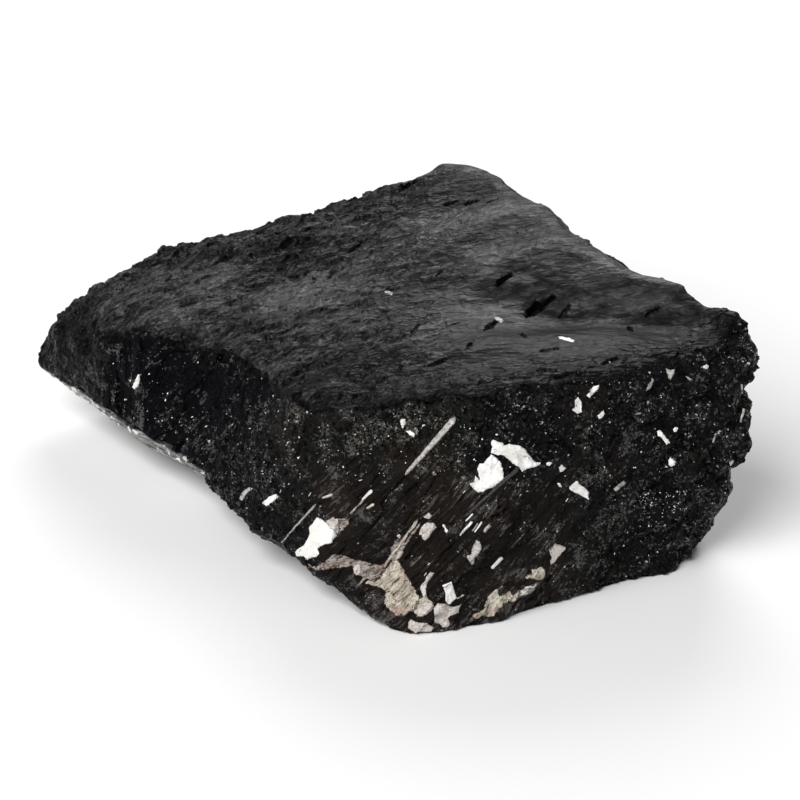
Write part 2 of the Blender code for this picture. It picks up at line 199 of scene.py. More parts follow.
def cad_shape(names: Iterable[str], swell_mm: float = 0.0) -> bmesh.types.BMesh:
    """Copies solids of the frame into one welded bmesh.

    Args:
        names: the nodes to copy.
        swell_mm: how far each vertex moves outwards, which closes the gaps between the solids.

    Returns:
        The joined copy, in metres.
    """
    joined = bmesh.new()
    for name in names:
        joined.from_mesh(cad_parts[name].data)
    bmesh.ops.remove_doubles(joined, verts=joined.verts, dist=WELD * MM)
    joined.normal_update()
    for vert in joined.verts:
        vert.co += vert.normal * swell_mm * MM
    return joined


def mesh_of(work: bmesh.types.BMesh, name: str) -> bpy.types.Mesh:
    """Turns a bmesh into a mesh and frees it."""
    mesh = bpy.data.meshes.new(name)
    work.to_mesh(mesh)
    work.free()
    return mesh


def piece(name: str, mesh: bpy.types.Mesh, material: bpy.types.Material,
          stands_for: Sequence[str] = ()) -> bpy.types.Object:
    """Makes a piece of the specimen that rides on its one body.

    Args:
        name: the piece's name.
        mesh: its mesh, in place, in metres.
        material: its finish.
        stands_for: the solids that it replaces.

    Returns:
        The new object.
    """
    made = bpy.data.objects.new(name, mesh)
    mesh.materials.clear()
    mesh.materials.append(material)
    bpy.context.scene.collection.objects.link(made)
    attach(made, "root")
    if stands_for:
        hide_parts(*stands_for)
    LOG.info("%s: %d faces", name, len(mesh.polygons))
    return made


# ---- The camera ----


@dataclass(frozen=True)
class ViewingCamera:
    """A camera that looks along +Y and down at the specimen.

    Attributes:
        target: the point at the middle of the picture.
        elevation_deg: its height above the horizon.
        lens: focal length.
        sensor: sensor width.
        view_width: what the picture spans at the target.
        image_px: the picture's width and height.
        clip: nearest and farthest that it sees, in metres.
    """

    target: tuple[float, float, float] = (4.0, -2.5, 26.0)
    elevation_deg: float = 30.0
    lens: float = 120.0
    sensor: float = 36.0
    view_width: float = 178.0
    image_px: int = 800
    clip: tuple[float, float] = (0.01, 20.0)

    @property
    def half_tangent(self) -> float:
        """Tangent of half the angle of view."""
        return self.sensor / 2.0 / self.lens

    @property
    def back(self) -> Vector:
        """From the target to the camera."""
        rise = math.radians(self.elevation_deg)
        return Vector((0.0, -math.cos(rise), math.sin(rise)))

    @property
    def place(self) -> Vector:
        """Where the camera stands, in metres."""
        distance = self.view_width / 2.0 / self.half_tangent
        return (Vector(self.target) + self.back * distance) * MM

    def direction(self, pixel: Pixel) -> Vector:
        """The line of sight through a pixel.

        Args:
            pixel: column and row in the picture.

        Returns:
            A unit vector that leaves the camera.
        """
        right = Vector((1.0, 0.0, 0.0))
        up = self.back.cross(right)
        middle = self.image_px / 2.0
        across = (pixel[0] - middle) / middle * self.half_tangent
        above = (middle - pixel[1]) / middle * self.half_tangent
        return (right * across + up * above - self.back).normalized()

    def build(self) -> None:
        """Adds the camera to the scene."""
        made = bpy.data.objects.new("camera", bpy.data.cameras.new("camera"))
        made.data.lens = self.lens
        made.data.sensor_width = self.sensor
        made.data.clip_start, made.data.clip_end = self.clip
        made.location = self.place
        made.rotation_mode = "QUATERNION"
        made.rotation_quaternion = (-self.back).to_track_quat("-Z", "Y")
        bpy.context.scene.collection.objects.link(made)
        bpy.context.scene.camera = made


# ---- Finishes ----


@dataclass(frozen=True)
class SchorlFinish:
    """Massive black tourmaline, broken, and weathered on its top.

    A granular break is a mosaic of small facets. Most are pitted and dull, and a few are glassy and
    catch the light. A bladed break is smoother, with fine lines along its blades, some of them brown
    with rust. The weathered top has lost its gloss, and shows a satin grey in thin overlapping scales.
    """

    name: str = "schorl_broken"
    break_black: str = "0d0c0e"
    # darker than the breaks: the flank's clean black glass, and partly painted shade of the undercut side
    flank_black: str = "08070b"
    rust_black: str = "1d1815"
    olive_black: str = "12140f"
    rib_grey: str = "4a4541"
    dust_grey: str = "58564f"
    weathered_black: str = "0a0a0b"
    worn_grey: str = "2f2d2f"
    flake_grey: str = "504e50"
    ior: float = 1.64
    flank_specular: float = 0.025
    dull_specular: float = 0.05
    glassy_specular: float = 0.5
    dull_roughness: float = 0.5
    glassy_roughness: float = 0.16
    worn_specular: tuple[float, float] = (0.09, 0.31)
    worn_roughness: tuple[float, float] = (0.34, 0.46)
    crackle_size: float = 0.8
    noise_roughness: float = 0.62

    # Noise fields: name, coordinate, size along each axis in millimetres, finer layers.
    NOISES = (
        ("ribs", "lay", (9.0, 0.5, 0.7), 1.0),
        ("ledge", "lay", (7.0, 2.8, 2.8), 2.0),
        ("flake", "lay", (3.4, 1.6, 1.6), 2.0),
        ("dash", "lay", (3.4, 0.9, 1.2), 1.0),
        ("tinge", "place", (9.0, 9.0, 9.0), 2.0),
        ("dust", "place", (0.4, 0.4, 0.4), 2.0),
        ("cluster", "place", (5.0, 5.0, 5.0), 3.0),
        ("patches", "lay", (16.0, 6.0, 8.0), 2.0),
    )
    # Facets: name, coordinate and size in millimetres.
    FACETS = (
        ("grain", "place", (0.9, 0.9, 0.9)),
        ("grit", "place", (0.5, 0.5, 0.5)),
        ("blades", "lay", (14.0, 0.9, 1.5)),
        ("scales", "lay", (2.4, 1.2, 1.0)),
    )
    # Sums: name, what is added with its weight, and the step that it goes through, if any.
    SUMS = (
        # Marks of the top: painted highlight dashes, ledges, flakes and the torn gaps between them.
        ("painted_highlight_dashes", {"dash": 1.0}, (0.54, 0.68)),
        ("ledges", {"ledge": 1.0}, (0.42, 0.60)),
        ("flakes", {"flake": 1.0}, (0.42, 0.62)),
        ("gaps", {"flake": 1.0}, (0.66, 0.71)),
        # Heights of each kind of surface, in millimetres.
        ("granular", {"grain": 1.2, "grit": 0.9}, None),
        ("bladed", {"blades": 0.22, "ribs": 0.55, "grain": 0.35, "grit": 0.4}, None),
        ("smooth", {"dash": 0.05, "grain": 0.05}, None),
        ("rough", {"ledges": 0.50, "flakes": 0.44, "gaps": -0.3, "scales": 0.14, "grain": 0.08}, None),
        # Tones of the breaks: off the flank, mossy, rusty, ribbed with grey, and dusty.
        ("off_flank", {"crust": 1.0, "rust": 1.0}, None),
        ("mossy", {"tinge": 1.0, "dusting": 0.2}, (0.6, 0.78)),
        ("rusty", {"rust": 1.0, "blades_tone": 0.3, "ribs": 0.3}, (0.3, 1.0)),
        ("ribbed", {"ribs": 1.0, "cluster": 0.7, "rust": 0.4}, (1.26, 1.38)),
        ("dusty", {"dust": 1.0, "cluster": 1.3, "crackle": -1.4, "dusting": 0.36}, (1.42, 1.66)),
    )
    # Sums that take in a mix of the first ones.
    LATE_SUMS = (
        # Gloss: glassy facets come in clusters, and among the blades whole blades are.
        ("clean", {"grit_tone": 0.5, "facet_tone": 0.5, "cluster": 2.2}, (1.78, 2.0)),
        # Wear of the top with painted light: highlights on dashes, shade in torn gaps, and the block's
        # light.
        ("wear_and_painted_light", {"patches": 0.5, "scales_tone": 0.06, "flakes": 0.14, "ledges": 0.14, "painted_highlight_dashes": 0.16,
                  "painted_light_and_wear": 0.5, "torn": -0.4}, (0.50, 1.10)),
    )

    def material(self) -> bpy.types.Material:
        """Builds the material; its attributes are those that the block's mesh carries."""
        made = bpy.data.materials.new(self.name)
        made.use_nodes = True
        tree = made.node_tree
        shader = tree.nodes["Principled BSDF"]
        found = {name: add_node(tree, "ShaderNodeAttribute", attribute_name=name).outputs["Fac"]
                 for name in ("weathered", "crust", "painted_light_and_wear", "rust", "dusting", "scaly")}
        found["lay"] = add_node(tree, "ShaderNodeAttribute", attribute_name="lay").outputs["Vector"]
        found["place"] = add_node(tree, "ShaderNodeTexCoord").outputs["Object"]
        for name, place, size in self.FACETS:
            found[name], found[name + "_tone"] = self._facets(tree, found[place], size)
        for name, place, size, detail in self.NOISES:
            spread = add_node(tree, "ShaderNodeMapping", {
                "Vector": found[place], "Scale": [1.0 / (side * MM) for side in size],
            })
            found[name] = add_node(tree, "ShaderNodeTexNoise", {
                "Vector": spread.outputs[0], "Scale": 1.0, "Detail": detail,
                "Roughness": self.noise_roughness,
            }).outputs["Fac"]
        found["crackle"] = add_node(tree, "ShaderNodeTexVoronoi", {
            "Vector": found["place"], "Scale": 1.0 / (self.crackle_size * MM),
        }, feature="DISTANCE_TO_EDGE").outputs["Distance"]
        woven(tree, found, self.SUMS, (
            ("facet_tone", "crust", "blades_tone", "grit_tone"),
            # the torn gaps are painted darker on the top: painted shade.
            ("torn", "scaly", 0.0, "gaps"),
        ))
        woven(tree, found, self.LATE_SUMS, (
            ("worn", "scaly", "smooth", "rough"),
            ("broken", "crust", "bladed", "granular"),
            ("height", "weathered", "broken", "worn"),
            ("worn_roughness", "grain_tone", *self.worn_roughness),
            ("gloss", "clean", self.dull_roughness, self.glassy_roughness),
            ("roughness", "weathered", "gloss", "worn_roughness"),
            ("worn_specular", "wear_and_painted_light", *self.worn_specular),
            ("dull", "off_flank", self.flank_specular, self.dull_specular),
            ("level", "clean", "dull", self.glassy_specular),
            ("specular", "weathered", "level", "worn_specular"),
        ), (
            ("bare", "off_flank", linear(self.flank_black), linear(self.break_black)),
            ("olive", "mossy", "bare", linear(self.olive_black)),
            ("rusted", "rusty", "olive", linear(self.rust_black)),
            ("lined", "ribbed", "rusted", linear(self.rib_grey)),
            ("dusted", "dusty", "lined", linear(self.dust_grey)),
            ("flaky", "scaly", linear(self.worn_grey), linear(self.flake_grey)),
            ("top", "wear_and_painted_light", linear(self.weathered_black), "flaky"),
            ("colour", "weathered", "dusted", "top"),
        ))
        bump = add_node(tree, "ShaderNodeBump", {
            "Height": found["height"], "Strength": 1.0, "Distance": 1.0 * MM,
        })
        for socket, value in (
            ("Base Color", found["colour"]), ("Normal", bump.outputs[0]), ("Roughness", found["roughness"]),
            ("Specular IOR Level", found["specular"]),
        ):
            tree.links.new(value, shader.inputs[socket])
        shader.inputs["IOR"].default_value = self.ior
        shader.inputs["Specular IOR Level"].default_value = self.worn_specular[0]  # where no pattern is read
        return made

    @staticmethod
    def _facets(tree: bpy.types.NodeTree, place: bpy.types.NodeSocket,
                size: Sequence[float]) -> tuple[bpy.types.NodeSocket, bpy.types.NodeSocket]:
        """Small flat facets, each tilted its own way.

        Args:
            tree: the material's tree.
            place: the coordinate to cut into cells.
            size: of a facet, in millimetres.

        Returns:
            The socket with the height in facet widths, and one with a random tone for each facet.
        """
        spread = add_node(tree, "ShaderNodeMapping", {
            "Vector": place, "Scale": [1.0 / (side * MM) for side in size],
        }).outputs[0]
        cells = add_node(tree, "ShaderNodeTexVoronoi", {"Vector": spread, "Scale": 1.0})
        from_middle = add_node(tree, "ShaderNodeVectorMath", {
            0: spread, 1: cells.outputs["Position"],
        }, operation="SUBTRACT")
        tilt = add_node(tree, "ShaderNodeVectorMath", {
            0: cells.outputs["Color"], 1: (0.5, 0.5, 0.5),
        }, operation="SUBTRACT")
        slope = add_node(tree, "ShaderNodeVectorMath", {
            0: from_middle.outputs[0], 1: tilt.outputs[0],
        }, operation="DOT_PRODUCT").outputs["Value"]
        height = add_node(tree, "ShaderNodeMath", {0: slope, 1: min(size)}, operation="MULTIPLY")
        tone = add_node(tree, "ShaderNodeSeparateColor", {0: cells.outputs["Color"]})
        return height.outputs[0], tone.outputs[0]


@dataclass(frozen=True)
class PaleFinish:
    """A pale mineral: two tones in patches, dark crumbs that crowd its rim, and a fine broken surface.

    Attributes:
        name: the mineral.
        slot: the record's slot that it stands for; nothing reads it.
        light: its main tone.
        shade: the tone of its stained or clearer patches.
        crumb: the tone of grains and dirt in it.
        crumbs: the share of the surface that crumbs cover.
        patch_size: the size of a tone's patch.
        grain_size: the size of the broken surface's facets.
        roughness: of the surface.
        ior: of the mineral.
        relief: depth of the broken surface.
        stretch: how many times longer a patch is along each axis, after the turn.
        turn_deg: how far the patches lean about the Y axis.
        shade_share: the share of the surface in the second tone.
        tint: a third tone, in a few broad patches.
    """

    name: str
    slot: str
    light: str
    shade: str
    crumb: str
    crumbs: float
    patch_size: float
    grain_size: float
    roughness: float
    ior: float
    relief: float
    stretch: tuple[float, float, float] = (1.0, 1.0, 1.0)
    turn_deg: float = 0.0
    shade_share: float = 0.4
    tint: str = "f2efe9"

    TONE_SPREAD = 0.2  # how much of a noise's range the share of a tone moves through
    TONE_STEP = (-0.06, 0.08)  # about the middle, from the first tone to the second
    TINT_STEP = (0.54, 0.64)
    TINT_SIZE = 0.45  # how much coarser the third tone's patches are, as a scale
    CRUMB_SPREAD = 0.5
    CRUMB_STEP = 0.06
    RIM_PULL = 0.13  # how much more crumbs there are at the rim

    def material(self) -> bpy.types.Material:
        """Builds the material; rim is an attribute of a patch's mesh."""
        made = bpy.data.materials.new(self.name)
        made.use_nodes = True
        tree = made.node_tree
        shader = tree.nodes["Principled BSDF"]
        place = add_node(tree, "ShaderNodeTexCoord").outputs["Object"]
        leaning = add_node(tree, "ShaderNodeMapping", {
            "Vector": place, "Rotation": (0.0, math.radians(-self.turn_deg), 0.0), "Scale": self.stretch,
        }, vector_type="TEXTURE").outputs[0]
        found = {
            "rim": add_node(tree, "ShaderNodeAttribute", attribute_name="rim").outputs["Fac"],
            "cells": add_node(tree, "ShaderNodeTexVoronoi", {
                "Vector": leaning, "Scale": 1.0 / (self.grain_size * MM),
            }).outputs["Distance"],
        }
        for name, where, scale, detail, roughness in (
            ("patches", leaning, 1.0 / (self.patch_size * MM), 6.0, 0.7),
            ("broad", place, self.TINT_SIZE / (self.patch_size * MM), 2.0, 0.5),
            ("dirt", leaning, 1.0 / (self.grain_size * MM), 5.0, 0.72),
        ):
            found[name] = add_node(tree, "ShaderNodeTexNoise", {
                "Vector": where, "Scale": scale, "Detail": detail, "Roughness": roughness,
            }).outputs["Fac"]
        middle = 0.5 + self.TONE_SPREAD * (0.5 - self.shade_share)
        edge = 0.5 + self.CRUMB_SPREAD * (0.5 - self.crumbs)
        woven(tree, found, (
            ("blotch", {"patches": 1.0}, (middle + self.TONE_STEP[0], middle + self.TONE_STEP[1])),
            ("tinge", {"broad": 1.0}, self.TINT_STEP),
            ("specks", {"rim": self.RIM_PULL, "dirt": 1.0}, (edge, edge + self.CRUMB_STEP)),
            ("rough", {"cells": 1.0, "dirt": 1.0}, None),
        ), (), (
            ("tone", "blotch", linear(self.light), linear(self.shade)),
            ("tinged", "tinge", "tone", linear(self.tint)),
            ("colour", "specks", "tinged", linear(self.crumb)),
        ), "LINEAR")
        bump = add_node(tree, "ShaderNodeBump", {
            "Height": found["rough"], "Strength": 0.9, "Distance": self.relief * MM,
        })
        for socket, value in (("Base Color", found["colour"]), ("Normal", bump.outputs[0])):
            tree.links.new(value, shader.inputs[socket])
        shader.inputs["Roughness"].default_value = self.roughness
        shader.inputs["IOR"].default_value = self.ior
        return made


class Mineral(Enum):
    """The pale minerals, each with its finish."""

    # Fresh cleavage of white microcline: bright, hardly any dirt, a faint pearl.
    WHITE = PaleFinish(
        "white_microcline", "feldspar_white", light="fbfaf8", shade="e9e7e2", crumb="8f8b84", crumbs=0.05,
        patch_size=2.6, grain_size=0.8, roughness=0.42, ior=1.53, relief=0.12,
    )
    # Altered feldspar with iron: beige, buff and grey streaks along the blades, full of dark crumbs.
    STAINED = PaleFinish(
        "stained_feldspar", "feldspar", light="e3dbca", shade="a79b88", crumb="463c34", crumbs=0.38,
        patch_size=1.4, grain_size=0.6, roughness=0.7, ior=1.53, relief=0.8, stretch=(3.6, 1.5, 1.0),
        turn_deg=50.0, tint="c4ab9d",
    )
    # Half altered feldspar: off-white to pinkish, with grey clouds.
    CLOUDED = PaleFinish(
        "clouded_feldspar", "feldspar_white", light="e2dbd5", shade="b5aaa3", crumb="7a7068", crumbs=0.2,
        patch_size=1.8, grain_size=0.5, roughness=0.5, ior=1.53, relief=0.3, tint="d6c5bf",
    )
    # Feldspar stained pink and brown, in fibres.
    PINK = PaleFinish(
        "pink_feldspar", "feldspar", light="b9aea6", shade="776a61", crumb="352c28", crumbs=0.42,
        patch_size=1.0, grain_size=0.5, roughness=0.65, ior=1.53, relief=0.8, stretch=(3.6, 1.5, 1.0),
        turn_deg=20.0, tint="96796c",
    )
    # Vein quartz: grey and greasy, in thin layers.
    VEIN = PaleFinish(
        "vein_quartz", "quartz", light="9c9b99", shade="434242", crumb="1a1919", crumbs=0.44,
        patch_size=0.8, grain_size=0.6, roughness=0.4, ior=1.54, relief=0.3, stretch=(12.0, 12.0, 1.0),
        shade_share=0.6,
    )
    # A single prism of schorl: black and smooth, with a few dull scratches along it.
    PRISM = PaleFinish(
        "schorl_prism", "tourmaline", light="211d1b", shade="171413", crumb="4b4541", crumbs=0.12,
        patch_size=1.0, grain_size=0.5, roughness=0.4, ior=1.64, relief=0.15, tint="2a2522",
    )
    # Milky quartz of the needles: pale grey, mottled across the needle.
    MILKY = PaleFinish(
        "milky_quartz", "quartz", light="c4c0bc", shade="8f8a86", crumb="4a4644", crumbs=0.22,
        patch_size=0.7, grain_size=0.5, roughness=0.45, ior=1.54, relief=0.2, tint="d8d4cf",
    )


# ---- The block's breaks ----


class Zones(NamedTuple):
    """Shares of each kind of surface at a point; they add up to 1."""

    top: float
    under: float
    granular: float
    bladed: float
    flank: float
    knobbly: float


IN_TOP = Zones(1.0, 0.0, 0.0, 0.0, 0.0, 0.0)

# Where the weathered top ends towards the flank and the front: X and Y of a line along the brow.
BROW_LINE = (
    (-63.0, 14.0), (-46.0, 4.5), (-33.0, -7.0), (-27.0, -13.5), (-21.0, -26.0), (-15.0, -35.0),
    (0.0, -40.5), (22.0, -41.5), (45.0, -38.5), (61.0, -31.5), (70.0, -22.0), (77.0, -14.0),
)


class PaintedLightPatch(NamedTuple):
    """A patch of painted light on the top, painted shade when its gain is negative: its middle, its half
    sizes and how much.
    """

    x: float
    y: float
    half_x: float
    half_y: float
    gain: float


# Painted light and shade of the top: broad lighter and darker patches.
PAINTED_LIGHT_PATCHES = tuple(PaintedLightPatch(*row) for row in (
    (6.0, 25.0, 27.0, 8.0, 0.18), (-16.0, 9.5, 17.0, 7.5, 0.62), (-24.0, 20.0, 8.0, 5.0, -0.12),
    (12.0, 38.5, 17.0, 4.5, -0.35), (50.0, -25.0, 14.0, 7.0, -0.2), (14.0, -26.0, 36.0, 13.0, -0.28),
    (35.0, -19.0, 30.0, 6.0, -0.34), (52.0, -7.0, 17.0, 8.0, 0.26), (30.0, 10.0, 16.0, 6.0, 0.2),
    (-46.0, 24.0, 22.0, 16.0, 0.22), (-40.0, 10.0, 20.0, 8.0, 0.2), (-74.0, 14.0, 12.0, 24.0, -0.45),
))


@dataclass(frozen=True)
class Fibre:
    """A direction in the block that a break follows, and the level direction across it."""

    along: Vector
    across: Vector

    def coordinates(self, point: Vector) -> Vector:
        """The point's place along, across and out of the fibre."""
        third = self.along.cross(self.across)
        return Vector((point @ self.along, point @ self.across, point @ third))


FACET_STEP = 0.5  # from a facet's height to the next one's
FACET_TILT = 1.4


def facet(point: Vector) -> float:
    """Height of broken facets one unit across, each at its own height and tilt.

    Args:
        point: the place, in facet sizes.

    Returns:
        The height, mostly from -1 to 1.
    """
    middle = noise.voronoi(point)[1][0]
    tilt = noise.cell_vector(middle) - Vector((0.5, 0.5, 0.5))
    return FACET_STEP * noise.cell(middle) + FACET_TILT * (point - middle) @ tilt


def scaled(point: Vector, *sizes: float) -> Vector:
    """The point with each coordinate measured in its own size."""
    return Vector((point.x / sizes[0], point.y / sizes[1], point.z / sizes[2]))


class Layer(NamedTuple):
    """One size of relief.

    Attributes:
        height: how far it stands out.
        size: its size all ways, or its sizes along, across and out of the fibres.
        shape: its form at a point in those sizes.
        shift: where its pattern starts.
    """

    height: float
    size: tuple[float, ...]
    shape: Callable[[Vector], float] = facet
    shift: tuple[float, float, float] = (0.0, 0.0, 0.0)

    def at(self, point: Vector) -> float:
        """Its height at a point."""
        spot = point / self.size[0] if len(self.size) == 1 else scaled(point, *self.size)
        return self.height * self.shape(spot + Vector(self.shift))


def layered(point: Vector, layers: Iterable[Layer]) -> float:
    """The height of several layers together."""
    return sum(layer.at(point) for layer in layers)


@dataclass(frozen=True)
class Hollow:
    """A pit or crack in the top.

    Attributes:
        at: its middle in the picture.
        half_length: along its run.
        half_width: across it.
        depth: at its middle.
        turn_deg: its run's angle from +X, seen from above.
        softened: how far around it the solid's own plain pit is smoothed to a shallow dip.
    """

    at: Pixel
    half_length: float
    half_width: float
    depth: float
    turn_deg: float
    softened: float = 0.0

    RAGGED = ((0.4, 0.8), (0.3, 2.2))  # how far its edge wanders, and how fast
    WALL_STEP = (0.45, 1.0)  # from its floor to its edge, as shares of its half size

    def dip(self, offset: Vector) -> float:
        """How deep the hollow is at an offset from its middle."""
        turned = Matrix.Rotation(math.radians(-self.turn_deg), 3, "Z") @ offset
        reach = math.hypot(turned.x / self.half_length, turned.y / self.half_width)
        reach += sum(far * noise.noise(offset * fast) for far, fast in self.RAGGED)
        return self.depth * (1.0 - ramp(reach, *self.WALL_STEP))


# Each one's middle, half length, half width, depth and turn, and how far the solid's pit is softened.
HOLLOWS = tuple(Hollow(*row) for row in (
    ((534, 311), 3.2, 1.3, 2.2, 52.0, 7.0), ((547, 301), 3.0, 0.7, 1.4, 38.0),
    ((504, 279), 3.2, 0.9, 1.6, 46.0, 6.0), ((491, 326), 3.2, 0.8, 0.9, 62.0, 6.0),
    ((523, 334), 2.6, 0.6, 0.5, 100.0), ((437, 366), 3.0, 0.7, 0.7, 20.0, 6.0),
    ((630, 328), 2.4, 0.6, 0.55, 100.0), ((415, 329), 4.0, 0.5, 0.55, 72.0),
    ((409, 184), 3.4, 1.2, 1.6, 35.0), ((450, 203), 1.8, 0.7, 0.9, 12.0), ((471, 202), 2.0, 0.8, 1.0, 20.0),
    ((492, 200), 1.6, 0.6, 0.8, 25.0), ((441, 273), 2.0, 0.6, 0.55, 55.0),
    ((565, 311), 2.0, 0.5, 0.55, 45.0), ((548, 350), 2.2, 0.5, 0.5, 10.0), ((388, 290), 2.6, 0.5, 0.6, 80.0),
    ((233, 300), 3.0, 0.6, 0.7, 15.0), ((570, 376), 3.4, 0.8, 0.9, 5.0), ((545, 372), 2.4, 0.7, 0.9, -20.0),
    ((610, 361), 2.8, 0.6, 0.6, 30.0), ((365, 240), 2.0, 0.6, 0.6, 20.0), ((345, 254), 1.4, 0.5, 0.6, 30.0),
    ((652, 312), 2.2, 0.5, 0.6, 25.0), ((470, 345), 2.6, 0.5, 0.6, 75.0), ((290, 330), 3.0, 0.6, 0.7, 40.0),
    ((188, 305), 2.6, 0.7, 0.8, 20.0),
))


@dataclass(frozen=True)
class Notch:
    """A dent in the block's right end: its middle, its half sizes and its depth."""

    at: tuple[float, float, float]
    half: tuple[float, float, float]
    depth: float

    RAGGED = Layer(0.2, (3.0,), noise.noise)
    WALL_STEP = (0.2, 1.0)

    def dip(self, point: Vector) -> float:
        """How deep the notch is at a point."""
        reach = scaled(point - Vector(self.at), *self.half).length + self.RAGGED.at(point)
        return self.depth * (1.0 - ramp(reach, *self.WALL_STEP))


NOTCHES = (
    Notch((80.0, -24.0, 40.5), (8.0, 16.0, 3.8), 2.8),
    Notch((78.3, -25.0, 22.0), (8.0, 14.0, 4.2), 3.2),
    Notch((70.5, -26.0, 5.5), (8.0, 12.0, 5.5), 1.2),
)


@dataclass(frozen=True)
class TourmalineBlock:
    """The black block, as one fine mesh over the solids.

    Attributes:
        voxel: side of a face on the hidden sides; half of it on the sides in view.
        triangles: how many the finished block has.
        inlay_swell: how far the inlays are swelled to close the gaps to their sockets.
        passes: how often the whole shell is smoothed.
        pit_passes: how often the solids' own pits are smoothed.
        brow_x, heel_x: where the flank ends, at the brow's height and at the heel's.
        brow_z, heel_z: those heights.
        blades_top: above this height the front is granular.
        blades_left, blades_right: the blades show between these.
        pit_painted_shade: how much painted shade darkens the bottom of a pit.
        pit_reach: no pit reaches further than this from its middle.
        front_fibre, column_fibre: the fibres of the front, and of the columns at the tip.
    """

    voxel: float = 0.88
    triangles: int = 190_000
    inlay_swell: float = 0.35
    passes: int = 3
    pit_passes: int = 40
    brow_x: float = -19.0
    brow_z: float = 43.0
    heel_x: float = -40.0
    heel_z: float = 9.0
    blades_top: float = 35.0
    blades_left: float = -16.0
    blades_right: float = 42.0
    pit_painted_shade: float = 0.9
    pit_reach: float = 8.0
    front_fibre: Fibre = Fibre(Vector((0.66, 0.0, 0.751)), Vector((-0.751, 0.0, 0.66)))
    column_fibre: Fibre = Fibre(
        Vector((0.1, -0.1, 0.99)).normalized(), Vector((-0.7, 0.7, 0.141)).normalized(),
    )

    # Where one kind of surface turns into the next: the start and the end of each step.
    FLANK_STEP = (-2.0, 3.0)  # past the flank's edge
    LEVEL_STEP = (0.34, 0.58)  # of the top's normal
    BROW_STEP = (-2.8, 0.4)  # behind the brow
    UNDER_STEP = (0.55, 0.85)  # of the underside's normal
    TIP_STEP = (63.0, 65.0)  # left of the middle
    TIP_SIDE_STEP = (0.0, 0.3)  # of the normal, away from the back
    SIDE_STEP = (0.0, 0.4)  # of the normal, towards the front and the left
    BLADES_TOP_STEP = (-3.0, 4.0)
    BLADES_END_STEP = (-6.0, 6.0)
    RIGHT_STEP = (46.0, 60.0)  # along X, from the front to the right end
    LEFT_TILT = 0.6  # how much of the side's normal counts towards the left
    TIP_NORMAL = 0.55  # the tip's scree lies where the normal's Y is less than this
    TIP_SHARE = 0.5
    FLANK_EDGE = 0.06  # the flank takes this much off the top's tilt
    # How the borders of those wander, and how much further two of them do, in millimetres.
    BROW_WANDER = 6.0
    TIP_WANDER = 12.0
    WANDER = (Layer(0.2, (5.0,), noise.noise), Layer(0.18, (1.6,), noise.noise))
    WOBBLE = Layer(5.0, (9.0,), noise.noise)
    # The top: bent fibres, broad waves, hummocks, torn sheets and flakes, rubble, and lumps at the back.
    BEND = Layer(0.8, (8.0,), noise.noise)
    WAVES = Layer(1.0, (24.0, 10.0, 12.0), noise.noise)
    HUMMOCKS = Layer(1.0, (9.0, 5.0, 6.0), noise.noise, (1.0, 8.0, 0.0))
    SHEETS = Layer(1.0, (11.0, 4.2, 6.0), noise.noise, (7.0, 0.0, 0.0))
    FLAKES = Layer(1.0, (5.5, 2.4, 3.0), noise.noise, (0.0, 5.0, 0.0))
    RUBBLE = Layer(0.6, (3.8, 2.8, 2.8))
    LUMPS = (Layer(1.1, (8.0, 6.0, 6.0)), Layer(0.4, (3.0,)))
    # The granular crust: grains one to three millimetres across.
    GRAINS = (
        Layer(0.62, (2.8,)), Layer(0.46, (1.4,), shift=(3.0, 1.0, 4.0)), Layer(0.9, (6.5,), noise.noise),
    )
    # The front: long flat blades side by side, each at its own depth, and the grains on them.
    BLADES = (Layer(0.75, (16.0, 2.6, 3.4)), Layer(0.30, (8.0, 1.1, 1.6), shift=(9.0, 2.0, 0.0)))
    BLADE_GRAINS = (Layer(0.25, (1.7,)), Layer(0.8, (7.0,), noise.noise))
    # The flank: steep columns, and the grains on them.
    COLUMNS = (Layer(0.8, (15.0, 3.2, 4.0)), Layer(0.3, (5.0, 1.1, 1.6)))
    COLUMN_GRAINS = (Layer(0.2, (1.5,)), Layer(0.8, (6.0,), noise.noise))
    LEAN_STEP = (-62.0, -46.0)  # along X, from the columns' direction to the blades'
    # The hidden sides: rounded knobs with creases between them, and the grains on those.
    KNOB_SIZE = 9.5
    KNOB_HEIGHT = 3.4
    KNOB_TOP = 0.4  # how far from a crease a knob is flat, as a share of its size
    KNOB_GRAINS = (Layer(0.5, (6.0,)), Layer(0.6, (2.8,)), Layer(0.25, (1.4,)))
    # Painted light of the top: full at the fade behind the brow, its least and how much more at the right.
    PAINTED_LIGHT_FADE = (2.0, 7.0)
    FADE_STEP = (-30.0, 10.0)
    WORN_WAVES = Layer(0.3, (26.0, 12.0, 20.0), noise.noise)
    PAINTED_LIGHT_START = -3.0
    PAINTED_LIGHT_BACK = 0.42
    PAINTED_PATCH_STEP = (0.3, 1.3)
    # Where the top is scaly: how much less at the right, and how much along the brow.
    SCALY_STEP = (-18.0, 22.0)  # along X
    SCALY_LOSS = 0.9
    SCALY_RIM = 0.7
    SCALY_RIM_STEP = (3.0, 12.0)  # behind the brow
    # Dust and rust of the front, and the halo of rust round the needle's top.
    DUST_STEP = (-34.0, -12.0)
    DUST_END_STEP = (5.0, 35.0)
    DUST_ELSEWHERE = 0.3
    CLEAN_STEPS = ((14.0, 30.0), (30.0, 38.0))  # along X, and up
    RUST_SIZE = 13.0
    RUST_STEP = (-0.25, 0.4)
    RUST_LEFT_STEP = (-34.0, -16.0)
    HALO = ((9.0, 10.0), (38.0, 6.0))  # middle and half size along X, and up
    HALO_STEP = (0.4, 1.3)
